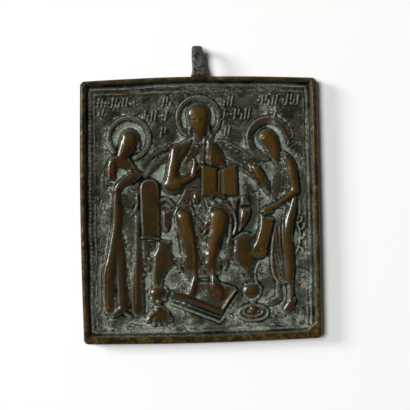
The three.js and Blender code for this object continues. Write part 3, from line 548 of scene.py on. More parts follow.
def carveLeftAttendant():
    halo((-34.8, 32.4), 8.9, 1.1, -74, 222)
    # long robe: back panel low behind broad ridges
    slab([(-44.6, 22), (-47, 18.8), (-48.2, 16), (-48.6, 10), (-49, -10), (-49.2, -26), (-49, -44),
          (-29.6, -44.4), (-29.6, -14), (-30.4, -2), (-38, 8)], 0.2, 0.7)
    slab([(-41, 10), (-31, 6), (-30, -12), (-29.8, -40), (-40, -42), (-42, -10)], 0.34, 1)
    # veiled head, neck and shoulders
    slab([(-43.6, 24.6), (-36.4, 24.2), (-31.4, 17.4), (-29.4, 15.4), (-33, 12.6), (-40, 9.6),
          (-45.6, 12.8), (-47.4, 17)], 0.3, 1.2)
    stroke([(-34.3, 32.2), (-35.3, 30), (-36.9, 27), (-38.3, 24.6), (-39.6, 22.8)], [4.3, 4, 3.2, 2.6, 1.7],
           [0.96, 0.93, 0.86, 0.76, 0.6])
    stroke([(-30.4, 31.4), (-29.8, 29.8), (-30.2, 28.6)], 0.75, 0.6)
    fold([(-38.4, 33), (-37.8, 29), (-39.4, 25.4)], 0.35, 0.06)
    wornFace((-33.4, 31.4), 3.7, 22, 0.1)
    # near sleeve, wider towards its cuff
    stroke([(-40.8, 23.8), (-42.8, 21.8), (-43.6, 18.4), (-43.8, 16)], [1.4, 2.4, 2.7, 2.5],
           [0.66, 0.72, 0.74, 0.7])
    slab([(-46.6, 13.6), (-41.2, 13.8), (-42, 19), (-45, 19)], 0.66, 1)
    fold([(-43.4, 21.6), (-43.6, 17.6), (-43, 14)], 0.4, 0.09)
    fold([(-45.4, 20), (-45.7, 14)], 0.35, 0.08)
    stroke([(-46.6, 12.6), (-44.4, 12.2), (-42.6, 11.6)], 0.5, 0.42)
    stroke([(-46.6, 10.4), (-45, 9.6), (-43.4, 9.4)], 0.5, 0.34)
    # mantle across the chest, and the arm held forward
    slab([(-41.4, 24), (-37.6, 24.8), (-34, 22.6), (-30.4, 17.8), (-32, 16.8), (-36, 18), (-41.6, 20.2)],
         0.6, 1.4)
    fold([(-40.6, 21.6), (-36.6, 20), (-33.4, 19)], 0.4, 0.08)
    stroke([(-35.2, 23.4), (-33, 20), (-31.2, 17.2)], 0.5, 0.58)
    stroke([(-40.2, 20.2), (-36.4, 18.6), (-33.6, 19)], 0.45, 0.46)
    dome((-38.6, 16.6), 2.8, 2.4, -20, 0.16, "cut", "soft")
    stroke([(-40.6, 17.6), (-38.8, 15.6)], 0.4, 0.34)
    stroke([(-41.4, 9.6), (-39, 12), (-36.2, 13.8), (-33.2, 15.2), (-30.8, 15.8)],
           [1.7, 1.9, 2.1, 2.4, 1.8], [0.82, 0.88, 0.9, 0.88, 0.8])
    stroke([(-31, 15.4), (-29, 16.2)], [1.2, 0.8], 0.74)
    stroke([(-34.6, 17.8), (-32, 17.6), (-30.4, 16.8)], [0.8, 1, 0.7], 0.74)
    crease([(-45.2, 9.2), (-42, 11.4), (-38.6, 13.8), (-36.8, 15)], 0.5, 0.2)
    fold([(-33, 17), (-31.6, 14)], 0.3, 0.06)
    # hanging sleeve with nested folds
    slab([(-39.6, 6), (-37.6, 10.6), (-34, 12), (-31.4, 11.4), (-31.2, 1), (-32.8, -1), (-35.4, -2.2),
          (-37.8, -1), (-39.2, 1)], 0.3, 0.8)
    stroke([(-39.2, 3), (-38, -0.6), (-35.4, -2.2), (-32.7, -0.6), (-31.3, 3), (-31.2, 8)], 0.6, 0.5)
    fold([(-38.2, 3), (-35.4, -0.8), (-32.6, 3)], 0.5, 0.14)
    stroke([(-38, 4), (-35.3, 0.6), (-32.8, 4.4)], 0.55, 0.46)
    stroke([(-37.2, 6.8), (-35.4, 4), (-33.2, 7.4)], 0.45, 0.42)
    fold([(-36.8, 10), (-36.2, 6.4)], 0.45, 0.1)
    fold([(-34.6, 11), (-34, 8)], 0.4, 0.1)
    # three broad ridges of the robe, and the thin folds between them
    stroke([(-40.9, 9.4), (-41.2, 4), (-41.3, -3), (-41.8, -9), (-42.8, -15), (-44, -21), (-45.6, -27),
            (-46, -33), (-46, -42.6)], [1.7, 2, 2.2, 2.5, 2.8, 3, 3, 2.8, 2.6],
           [0.84, 0.82, 0.8, 0.8, 0.8, 0.78, 0.76, 0.7, 0.66], back="full")
    stroke([(-40.4, -8), (-40, -13), (-39.8, -20), (-39.6, -28), (-39.4, -36), (-39.2, -42)],
           [1.4, 2.1, 2.4, 2.5, 2.4, 2.3], [0.6, 0.72, 0.72, 0.7, 0.66], back="full")
    stroke([(-31.4, -2), (-31.2, -10), (-31.2, -18), (-31.6, -26), (-31.9, -34), (-31.9, -43.4)],
           [0.9, 1.4, 1.9, 2.4, 2.8, 2.9], [0.5, 0.6, 0.68, 0.66], back="full")
    fold([(-46.4, -24), (-47, -33), (-47, -42)], 0.4, 0.12)
    fold([(-44.6, -20), (-45.4, -28), (-45.4, -38)], 0.3, 0.05)
    fold([(-39.8, -16), (-39.9, -26), (-40.2, -38)], 0.3, 0.07)
    fold([(-32.6, -14), (-33, -26), (-33.2, -40)], 0.4, 0.12)
    fold([(-30.6, -20), (-30.8, -30), (-31, -42)], 0.35, 0.09)
    stroke([(-43.5, -25.6), (-43.2, -33), (-43, -41.6)], 0.45, 0.36)
    fold([(-42.4, -19), (-42.2, -27), (-42, -36), (-42, -42)], 0.4, 0.12)
    fold([(-48.6, -31.4), (-44.2, -31.8)], 0.35, 0.09)
    stroke([(-36.9, -10), (-36.2, -14), (-35, -19.2)], 0.55, 0.42)
    stroke([(-31.4, -4), (-32.2, -12), (-33, -21), (-33.5, -31), (-34.2, -42)], 0.45, 0.52)
    stroke([(-36.8, -25), (-36.4, -29), (-35.2, -33)], 0.5, 0.42)
    stroke([(-37.9, -35), (-36.8, -38), (-36.2, -41.6)], 0.5, 0.42)
    stroke([(-35.2, -20), (-35, -26)], 0.4, 0.36)
    stroke([(-48.9, -1), (-48.9, -20), (-48.9, -44)], 0.4, 0.26)
    stroke([(-48.2, 16), (-47, 18.8), (-44.8, 21.8)], 0.45, 0.36)
    # brown mass between the robe and the throne leg, ragged towards it
    slab([(-29.2, -12.6), (-24.4, -13.4), (-25.2, -17), (-26.6, -20), (-28, -25), (-29.2, -29)], 0.5, 0.9)
    lumps = (
        (-24.6, -14.4), (-25.2, -16.6), (-26.4, -18.6), (-25.8, -21),
        (-27.4, -23), (-27.6, -25.6), (-28.6, -28),
    )
    for n, (u, v) in enumerate(lumps):
        dome((u, v), 1.3 - 0.07 * n, 1.2 - 0.05 * n, 40 * n, 0.56)
    # feet and the ground they stand on
    stroke([(-39, -42.4), (-41.6, -44), (-44.2, -45.4)], [2, 2.1, 1.4], [0.68, 0.66, 0.52])
    stroke([(-38.2, -44.8), (-35.8, -46.3)], [0.9, 1.1], 0.52)
    stroke([(-52.2, -40.4), (-50.6, -42.2), (-51, -44)], 0.4, 0.2)
    stroke([(-47.6, -46.6), (-45.4, -45.8), (-40, -46.6), (-35, -47.6), (-31, -45.6), (-28.8, -46)],
           0.45, 0.2)
    # scroll and its bottom roll
    slab([(-30, 10), (-29.5, 12.2), (-27.8, 13.8), (-25.2, 14.4), (-22.4, 13.8), (-20.8, 12.2), (-20.3, 10),
          (-20.3, -11), (-29.4, -11)], 0.7, 0.5)
    dome((-25, 0), 4.2, 13, 0, 0.06, "add", "soft")
    fold([(-29.8, 9.2), (-25, 9.5), (-20.6, 9.2)], 0.35, 0.05)
    stroke([(-29, -11.6), (-25, -11.4), (-21, -12.2)], [0.7, 0.9, 0.75], 0.78)
    stroke([(-28.8, -12.8), (-25.6, -13), (-21, -13.2)], [0.6, 0.7, 0.5], 0.5)


def carveRightAttendant():
    halo((34, 31.2), 8.3, 1.8, 8, 264)
    stroke([(45.9, 31.6), (44.2, 30.6), (43.4, 28)], [0.7, 0.9, 0.7], 0.34)
    # back, shoulders and chest
    slab([(40, 26), (44, 24.2), (46.5, 21.6), (47.8, 18), (48.2, 12), (47.6, 3), (44, 0), (36, 1),
          (34.2, 8), (35.8, 14), (36.4, 19)], 0.3, 1.2)
    dome((41, 13), 4.6, 8, 0, 0.36, back="soft")
    stroke([(40.8, 25), (43.6, 23.4), (46, 20.6), (47.4, 17)], [0.7, 0.9, 0.8], 0.5)
    # bearded head, long hair down its back
    stroke([(33.2, 31.8), (34.8, 30.2), (36.4, 27.2), (37.4, 23.8), (37.8, 21)], [3.8, 3.8, 3.1, 2.4, 1.5],
           [0.96, 0.95, 0.88, 0.76, 0.58])
    fold([(37, 33.4), (38.6, 29.6), (39.6, 25), (39.8, 22.4)], 0.4, 0.07)
    wornFace((32.6, 30.8), 3.8, -28, -0.1)
    fold([(36, 25.4), (37, 22.2)], 0.3, 0.06)
    fold([(37.8, 25), (38.1, 21.8)], 0.3, 0.06)
    # folds on the chest
    for path in (
        [(38.2, 18.8), (37.6, 13), (36.4, 7.4)],
        [(39.6, 19.6), (39, 13), (38, 6.6)],
        [(41.2, 19.8), (41, 13), (39.6, 7)],
        [(42.6, 17.6), (42.8, 12), (42, 8)],
    ):
        stroke(path, [0.5, 0.8, 0.6], [0.44, 0.36, 0.4])
    for u, v in ((42.2, 13.4), (41.4, 10.6), (43.2, 9.8), (40.4, 8.6), (42, 6.6), (38.6, 5), (36.6, 4.6),
                 (35.2, 6.2)):
        dome((u, v), 0.5, 0.5, 0, 0.44)
    # raised hand
    stroke([(26.4, 18.8), (27.8, 17.2), (29.5, 14.6), (31.8, 11.4), (33.3, 7.8)], [1.2, 2, 2.3, 1.9, 1.4],
           [0.66, 0.82, 0.82, 0.74, 0.6])
    stroke([(28.4, 18.6), (29, 16.8)], 0.7, 0.72)
    fold([(26, 17.4), (27.6, 15.4)], 0.28, 0.06)
    fold([(28.8, 18.6), (29.2, 16.4)], 0.25, 0.06)
    fold([(31.4, 14), (31.6, 10)], 0.35, 0.1)
    fold([(33, 11.4), (33.4, 7.6)], 0.35, 0.08)
    stroke([(34.4, 9), (35, 4), (33.4, 2)], 0.45, 0.34)
    stroke([(28.2, 12.4), (28.4, 6), (28.5, 0)], 0.4, 0.2)
    for u, v in ((26, 20.6), (28, 21), (30.2, 20.2), (32, 18.8), (33, 16.4)):
        dome((u, v), 0.8, 0.6, 20 * u, 0.24)
    # arm that reaches down to the scroll
    stroke([(42.4, 22.4), (44.2, 20.4), (45.4, 15.8), (46.2, 11), (46.6, 8.4)], [1.4, 2, 2.4, 2.3, 2.2],
           [0.66, 0.78, 0.82, 0.82, 0.82])
    stroke([(46.6, 8.2), (43, 5.4), (38.8, 2.7), (34.6, 0.7), (31.8, -0.6)], [2.2, 1.6, 1.4, 1.4, 1.5],
           [0.84, 0.82, 0.84, 0.86])
    stroke([(32, 0.3), (30.2, -0.9)], [1, 0.8], 0.76)
    stroke([(34.6, -0.8), (31.6, -1.8)], [1.2, 0.9], 0.84)
    fold([(31.6, -0.9), (33.6, -0.5)], 0.25, 0.06)
    # scroll with its bottom roll
    slab([(29.3, -2), (32.8, -3.2), (36.4, -4), (35.2, -8.8), (33.6, -14), (32, -19.2), (24, -19.6),
          (26.6, -14), (28.6, -8)], 0.66, 0.8, crown=0.06)
    dome((31, -10), 3, 8, -14, 0.08, "add", "soft")
    stroke([(23.8, -19.4), (27, -20), (30.2, -19.6), (31.8, -18.4)], [1, 1.7, 1.6, 1], [0.74, 0.84, 0.82])
    dome((30.2, -17.6), 1.4, 0.9, 20, 0.86)
    # robe: strong smooth back leg, and folds that sweep down to the hem
    slab([(37, -3), (47.4, 3), (46.4, -3), (44.6, -8), (43.8, -14), (44.4, -19), (45.3, -24), (45.1, -31.4),
          (41, -32.6), (37.4, -32.4), (35.2, -29), (34, -22), (34.4, -14), (35.8, -8)], 0.28, 1.2)
    stroke([(46.4, 5), (45.2, 0), (43.8, -5), (42.8, -10), (42.4, -14), (42.8, -19), (43.3, -25),
            (43.2, -31.4)], [1.3, 1.9, 2.3, 2.5, 2.5, 2.5, 2.5, 2.1],
           [0.64, 0.7, 0.7, 0.7, 0.7, 0.72, 0.7, 0.64])
    for path in (
        [(41.4, 0), (40.6, -6), (40.2, -12), (40.6, -19), (41.2, -24)],
        [(39.6, -2), (38.8, -9), (38.8, -16), (40, -23), (41.2, -28)],
        [(38, -4.4), (37.2, -11), (37.4, -17), (38.8, -24), (40.6, -30.4)],
        [(36.6, -7), (35.9, -13), (36.2, -19), (37.4, -25), (39.2, -31.4)],
        [(35.2, -11), (34.8, -17), (35.2, -23), (36.6, -28.6)],
    ):
        stroke(path, [0.35, 0.55, 0.55, 0.4], [0.46, 0.58, 0.56, 0.46])
    stroke([(34.2, -19), (34.6, -25), (35.8, -29.6), (38.2, -32.4), (40.4, -32.6)], [0.5, 0.8, 0.6], 0.5)
    stroke([(48.6, 5), (49, 1), (48.8, -2)], 0.6, 0.34)
    # legs and feet
    stroke([(37.6, -32.6), (37.6, -39)], 1.3, 0.52)
    stroke([(43.6, -31.8), (43.6, -39)], [1.6, 1.4], 0.6)
    stroke([(37.8, -39.4), (35, -40.6), (32.2, -41.2)], [1.6, 1.8, 1.3], [0.62, 0.6, 0.5])
    stroke([(44.4, -40), (43, -42.6), (40.8, -44.8)], [1.9, 2.3, 1.7], [0.64, 0.66, 0.54])
    for k in range(3):
        fold([(39.6 + 0.85 * k, -44.2 - 0.3 * k), (38.8 + 0.85 * k, -46)], 0.2, 0.06)
    # plant beside the figure
    stroke([(46.5, -20), (48.2, -16), (48.8, -11), (47.4, -6)], 0.5, 0.38)
    for path in (
        [(48.6, -13.4), (50.6, -12.6), (51, -10.8)], [(48.6, -9.4), (50.4, -8.4), (51, -6.6)],
        [(47.8, -16.6), (49.8, -17.6), (50.2, -19)], [(47.8, -6.2), (49.6, -5.2), (50, -3.6)],
    ):
        stroke(path, 0.6, 0.38)


# Rows of short strokes and dots above and beside the heads
strokeRows = dict(
    pitch=1.75,  # from one stroke to the next
    lean=0.45,  # how far a stroke leans to each side
    rows=(  # start, end, foot and head of each row
        (-50.4, -31, 46.3, 50.2), (-20, -12, 46.3, 50.2), (12, 18, 46.3, 50.2), (27, 50, 46.3, 50.2),
        (-27.6, -14, 40.2, 44.4), (11.6, 26, 40.2, 44.4), (-19.6, -14.6, 32.8, 36.8), (12, 17, 33, 36.8),
        (35, 40, 41.2, 43.8), (-50, -46.4, 42.6, 45.4),
    ),
)


def carveStrokeRows():
    pitch = strokeRows["pitch"]
    lean = strokeRows["lean"]
    for n, (start, end, low, high) in enumerate(strokeRows["rows"]):
        middle = (low + high) / 2
        for i in range(int((end - start) / pitch)):
            u = start + pitch * (i + 0.5)
            kind = (3 * i + 2 * n) % 7
            if kind in (0, 3, 5):
                stroke([(u - lean, low), (u + lean, high)], 0.55, 0.36)
            elif kind == 1:
                stroke([(u, middle), (u + lean, high)], 0.6, 0.34)
            elif kind == 4:
                stroke([(u - lean, low), (u, middle)], 0.6, 0.34)
            elif kind == 2:
                dome((u, middle), 0.75, 0.75, 0, 0.34)


carveThrone()
print("carved the throne")
carveFootstool()
carveEnthroned()
carveBook()
print("carved the enthroned figure")
carveLeftAttendant()
carveRightAttendant()
carveStrokeRows()
print("carved the attendants and the strokes")


def rimAndBorder():
    # height of the rim and the fine ridges over the back, by how far in a sample lies
    rise = rim["rise"]
    ground = plate["ground"]
    top = ground + rise
    crest = ground + border["ridge"]
    profile = (
        (0, top - 0.42 * rise), (0.1, top - 0.2 * rise), (0.25, top - 0.07 * rise), (0.5, top),
        (0.74, top - 0.05 * rise), (0.87, top - 0.2 * rise), (0.98, ground + 0.2), (1.03, ground - 0.2),
        (1.12, ground - 0.12), (1.27, crest), (1.34, crest), (1.45, ground - 0.14), (1.52, ground - 0.14),
        (1.63, crest), (1.7, crest - 0.05), (1.82, ground - 0.05), (1.95, ground + 0.2), (2.08, ground),
    )
    wander = 0.05 * cloud(5.5, 11, 70) + 0.03 * cloud(1.4, 12, 70)
    steps, heights = zip(*profile)
    shape = np.interp(gridStep + wander * smoothStep(0.3, 1.2, gridStep), steps, heights)
    # the ridges are worn through in places, and the left one is beaded
    worn = 0.85 + 0.25 * cloud(3.2, 13, 40) + 0.15 * cloud(0.8, 14, 40)
    onLeft = (gridX < -fieldWidth / 2) * (gridStep > 1.15) * (gridStep < 1.45)
    beads = 1 + 0.4 * np.cos(gridY * 2 * math.pi / 0.9) * onLeft
    over = shape - ground
    raised = np.maximum(over, 0) * np.clip(worn, 0.3, 1.1) * beads + np.minimum(over, 0)
    shape = np.where(gridStep > 1.1, ground + raised, shape)
    # metal that filled the rim's inner corner at the lower right
    right = plate["width"] / 2 - rim["right"]
    bottom = -plate["height"] / 2 + rim["bottom"]
    depth = (gridX - right + rim["cornerFillet"]) - (gridY - bottom)
    filled = smoothStep(-0.15, 0.3, depth) * (gridX > 0) * (gridY < 0)
    shape = np.where(gridStep > 0.8, shape + (top - 0.15 * rise - shape) * filled, shape)
    # a nick in the top edge beside the eye, and dents along the rim
    nick = np.exp(-((gridX - 4.6) / 0.7) ** 2 - (np.minimum(gridStep, 1) / 0.6) ** 2) * (gridY > 0)
    dents = np.maximum(cloud(1.7, 15, 90) - 0.45, 0) * (gridStep < 1)
    return shape - 0.5 * nick - 0.25 * dents


def surface():
    # rim, border and figures in one, softened by wear and roughened by the mould
    base = rimAndBorder()
    bare = smoothStep(2.0, 2.2, gridStep)
    ground = plate["ground"] + bare * 0.05 * cloud(4.0, 3, 60)
    cut = np.minimum(figures, 0) * bare
    height = np.maximum(base, np.where(gridStep > 1.3, ground + figures, 0))
    height = np.where(gridStep > 2.0, np.maximum(base + cut, ground + figures), height)
    height = softened(height, carving["soften"])
    proud = smoothStep(0.3, 1.2, height - plate["ground"])
    rough = carving["grain"] * (1 - 0.7 * proud)
    height = height + rough * (cloud(0.5, 5, 50) + 0.7 * cloud(0.24, 6, 50))
    height = height + 0.03 * cloud(2.2, 7, 50) * smoothStep(0, 1, gridStep)
    return np.minimum(height, plate["ground"] + carving["rise"] * 1.04)


skin = surface()
# what the mesh carries for its patina
readings = dict(
    proud=softened(skin, 0.12) - plate["ground"],  # how far a point stands over the ground
    hollow=softened(skin, 0.3) - skin,  # positive in the narrow crevices
    foot=softened(skin, 0.42) - skin,  # positive on the ground beside the forms
    step=gridStep,  # 0 on the outer edge, 1 where the rim ends, 2 where the picture field begins
    sheltered=softened(skin, 1.3) - skin,  # positive on the ground between forms
)
print("finished the surface", skin.min(), skin.max())


def coarse(values):
    # the mesh keeps one sample in each "finer" of them, after a light average
    step = plate["finer"]
    return softened(values, cell * 0.6)[::step, ::step]


def castingMesh():
    every = plate["finer"]
    x = gridX[::every, ::every]
    y = gridY[::every, ::every]
    rows, columns = x.shape
    points = [np.stack([x, y, coarse(skin)], -1).reshape(-1, 3)]
    marks = [np.stack([coarse(one) for one in readings.values()], -1).reshape(-1, len(readings))]
    number = np.arange(rows * columns).reshape(rows, columns)
    a = number[:-1, :-1].ravel()
    b = number[:-1, 1:].ravel()
    c = number[1:, 1:].ravel()
    d = number[1:, :-1].ravel()
    faces = [np.stack([a, b, c, d], -1)]
    # the loop of edge samples, anticlockwise from the lower left
    loop = np.concatenate([number[0, :-1], number[:-1, -1], number[-1, :0:-1], number[:0:-1, 0]])
    edge = points[0][loop]
    count = len(loop)
    following = np.roll(np.arange(count), -1)
    centre = edge[:, :2].mean(0)
    upper = loop
    total = rows * columns
    drawIn = plate["backRounding"]
    side = edge[:, 2] - drawIn
    outward = edge[:, :2] - centre
    outward /= np.linalg.norm(outward, axis=1, keepdims=True)
    onWall = [1.2, 0.0, 0.0, 0.0, 0.0]  # the sides and the back wear as the rim does
    # loops down the side, round its lower edge and over the back: how far in each lies, and how high
    wall = (
        (0.0, drawIn + 0.55 * side),
        (0.0, drawIn + 0.25 * side),
        (0.0, drawIn + 0 * side),
        (drawIn, 0 * side),
        (drawIn + 3, 0 * side),
        (drawIn + 12, 0 * side),
    )
    for inset, z in wall:
        flat = edge[:, :2] - outward * inset
        if inset == 0:
            bumps = 0.05 * cloudOver(edge[:, 0] + edge[:, 1] + 120, z * 3 + 20, 0.9, 21)
            flat = flat - outward * np.abs(bumps)[:, None]
        points.append(np.column_stack([flat, z]))
        marks.append(np.tile(onWall, (count, 1)))
        lower = np.arange(total, total + count)
        faces.append(np.stack([upper, lower, lower[following], upper[following]], -1))
        upper = lower
        total += count
    points.append(np.array([[centre[0], centre[1], 0.0]]))
    marks.append(np.array([onWall]))
    mesh = bpy.data.meshes.new("icon_bronze")
    quads = np.concatenate(faces).tolist()
    fan = np.stack([np.full(count, total), upper[following], upper], -1).tolist()
    mesh.from_pydata((np.concatenate(points) * mm).tolist(), [], quads + fan)
    marks = np.concatenate(marks)
    for name, values in zip(readings, marks.T.astype(np.float32)):
        mesh.attributes.new(name, "FLOAT", "POINT").data.foreach_set("value", np.ascontiguousarray(values))
    return mesh


eye = dict(
    rise=7.1,  # how far it stands past the plate's edge
    depth=4.6,  # along Z, flush with the back
    footWidth=3.1,
    topWidth=2.3,
    wire=1.0,
    flare=0.8,
    twist=7.0,  # degrees
    shift=0.2,
    stripRoundness=0.6,  # 1 makes its section an oval, and less squares it
    around=56,
    across=20,
)


def eyeMesh():
    # a flattened ring: sections of a rounded strip swept round an oval in Y and Z
    foot = plate["height"] / 2 + plate["bow"]["top"] - 1.0
    top = foot + 1 + eye["rise"]
    bend = eye["depth"] / 2
    crown = bend * 1.3  # how far down its round top reaches
    hole = (eye["rise"] - eye["wire"] * 1.1 - eye["flare"]) / 2
    holeMiddle = top - eye["wire"] * 1.1 - hole
    square = 0.35  # a low power squares the oval below the crown
    rng = np.random.RandomState(4)
    points = []
    for i in range(eye["around"]):
        a = 2 * math.pi * i / eye["around"]
        ca = math.cos(a)
        sa = math.sin(a)
        # inner wall is the hole's oval, outer wall is round above and square below
        inner = (holeMiddle + hole * sa, bend + (bend - eye["wire"]) * ca)
        if sa > 0:
            outer = (top - crown + crown * sa, bend + bend * ca)
        else:
            down = (top - crown - foot) * abs(sa) ** square
            outer = (top - crown - down, bend + bend * math.copysign(abs(ca) ** square, ca))
        for j in range(eye["across"]):
            b = 2 * math.pi * j / eye["across"]
            out = 0.5 + 0.5 * math.copysign(abs(math.cos(b)) ** eye["stripRoundness"], math.cos(b))
            wide = 0.5 * math.copysign(abs(math.sin(b)) ** eye["stripRoundness"], math.sin(b))
            y = inner[0] + (outer[0] - inner[0]) * out
            z = inner[1] + (outer[1] - inner[1]) * out
            up = min(1, max(0, (y - foot - 1) / eye["rise"]))
            narrow = 1 + (eye["topWidth"] / eye["footWidth"] - 1) * up
            flare = 1 + eye["flare"] / eye["footWidth"] * max(0, 1 - up * 5)
            x = eye["footWidth"] * (wide * narrow * flare - (1 - narrow) / 2)
            lump = 0.06 * math.sin(7 * a + 2 * b) + 0.05 * rng.uniform(-1, 1)
            x *= 1 - abs(lump) * 0.6
            twist = math.radians(eye["twist"]) * up
            fromMiddle = z - bend
            points.append((
                eye["shift"] + x * math.cos(twist) + fromMiddle * math.sin(twist),
                y - abs(lump) * 0.5,
                min(max(bend + fromMiddle * math.cos(twist) - x * math.sin(twist), 0.0), eye["depth"]),
            ))
    faces = []
    for i in range(eye["around"]):
        here = i * eye["across"]
        following = (i + 1) % eye["around"] * eye["across"]
        for j in range(eye["across"]):
            j2 = (j + 1) % eye["across"]
            faces.append([here + j, following + j, following + j2, here + j2])
    mesh = bpy.data.meshes.new("eye")
    mesh.from_pydata([tuple(c * mm for c in p) for p in points], [], faces)
    return mesh


def joinedCasting():
    casting = bpy.data.objects.new("icon_bronze", castingMesh())
    bpy.context.scene.collection.objects.link(casting)
    ring = bpy.data.objects.new("eye", eyeMesh())
    bpy.context.scene.collection.objects.link(ring)
    subdivide = ring.modifiers.new("smooth", "SUBSURF")
    subdivide.levels = 1
    subdivide.render_levels = 1
    for piece in (casting, ring):
        mesh = bmesh.new()
        mesh.from_mesh(piece.data)
        bmesh.ops.recalc_face_normals(mesh, faces=mesh.faces)
        mesh.to_mesh(piece.data)
        mesh.free()
    union = casting.modifiers.new("join", "BOOLEAN")
    union.operation = "UNION"
    union.solver = "EXACT"
    union.object = ring
    bpy.context.view_layer.update()
    dressed = casting.evaluated_get(bpy.context.evaluated_depsgraph_get())
    joined = bpy.data.meshes.new_from_object(dressed)
    casting.modifiers.clear()
    casting.data = joined
    bpy.data.objects.remove(ring)
    for polygon in joined.polygons:
        polygon.use_smooth = True
    # the eye is marked by a step of -1
    where = np.empty(len(joined.vertices) * 3, np.float32)
    joined.vertices.foreach_get("co", where)
    step = np.empty(len(joined.vertices), np.float32)
    joined.attributes["step"].data.foreach_get("value", step)
    step[where[1::3] > (plate["height"] / 2 + plate["bow"]["top"] + 0.25) * mm] = -1
    joined.attributes["step"].data.foreach_set("value", step)
    return casting


casting = joinedCasting()
print("cast in one piece", len(casting.data.polygons), "faces", [a.name for a in casting.data.attributes])


def srgb(code):
    # a hex colour as linear values
    parts = [int(code[i:i + 2], 16) / 255 for i in (1, 3, 5)]
    return [p / 12.92 if p <= 0.04045 else ((p + 0.055) / 1.055) ** 2.4 for p in parts] + [1.0]


def node(tree, kind, settings, inputs, output=0):
    # adds one node, sets its properties, fills or links its inputs, which come in their own order
    # or by name, and gives one of its outputs
    made = tree.nodes.new("ShaderNode" + kind)
    for name, value in settings.items():
        setattr(made, name, value)
    for name, value in inputs.items() if isinstance(inputs, dict) else enumerate(inputs):
        if isinstance(value, bpy.types.NodeSocket):
            tree.links.new(value, made.inputs[name])
        else:
            made.inputs[name].default_value = value
    return made.outputs[output]


# settings that many nodes share
plus = dict(operation="ADD")
times = dict(operation="MULTIPLY")
timesPlus = dict(operation="MULTIPLY_ADD")  # the first times the second, plus the third
larger = dict(operation="MAXIMUM")
smaller = dict(operation="MINIMUM")
smooth = dict(interpolation_type="SMOOTHSTEP")  # inputs: value, its two ends, and what they become
colourMix = dict(data_type="RGBA")  # inputs 0, 6 and 7: share and two colours; output 2: colour

bronze = dict(
    tints=dict(
        rubbed="#523c10",  # where hands have polished it
        brown="#2f250b",
        olive="#252208",
        russet="#4a280a",
        rimBrown="#5a4522",
        oxide="#38342a",
        oxideDark="#181711",
        deposit="#a8b2a2",
        verdigris="#414f43",
        # near-black of the crevices: partly dirt, partly painted shade
        sootAndShade="#020202",
        edge="#868a7b",  # dust and rubbed metal on the crisp edges, with a painted highlight along them
        eyeGrey="#5c5d57",
    ),
    patterns=dict(  # size in mm, detail and roughness
        drifts=(8, 5, 0.65),
        broad=(7, 3, 0.6),
        reddish=(3.5, 2, 0.6),
        cloudy=(2.6, 4, 0.6),
        speckled=(0.8, 4, 0.7),
        fine=(0.3, 3, 0.6),  # casting grain, a little coarser than moulding sand so that it shows
    ),
    mottled=dict(  # a pattern, the values it turns between, and the two tints
        oxide=("cloudy", 0.35, 0.65, "oxideDark", "oxide"),
        brown=("broad", 0.4, 0.62, "brown", "olive"),
        rim=("cloudy", 0.42, 0.6, "rimBrown", "olive"),
        eye=("speckled", 0.4, 0.6, "eyeGrey", "oxideDark"),
        salts=("broad", 0.45, 0.62, "deposit", "verdigris"),
    ),
)


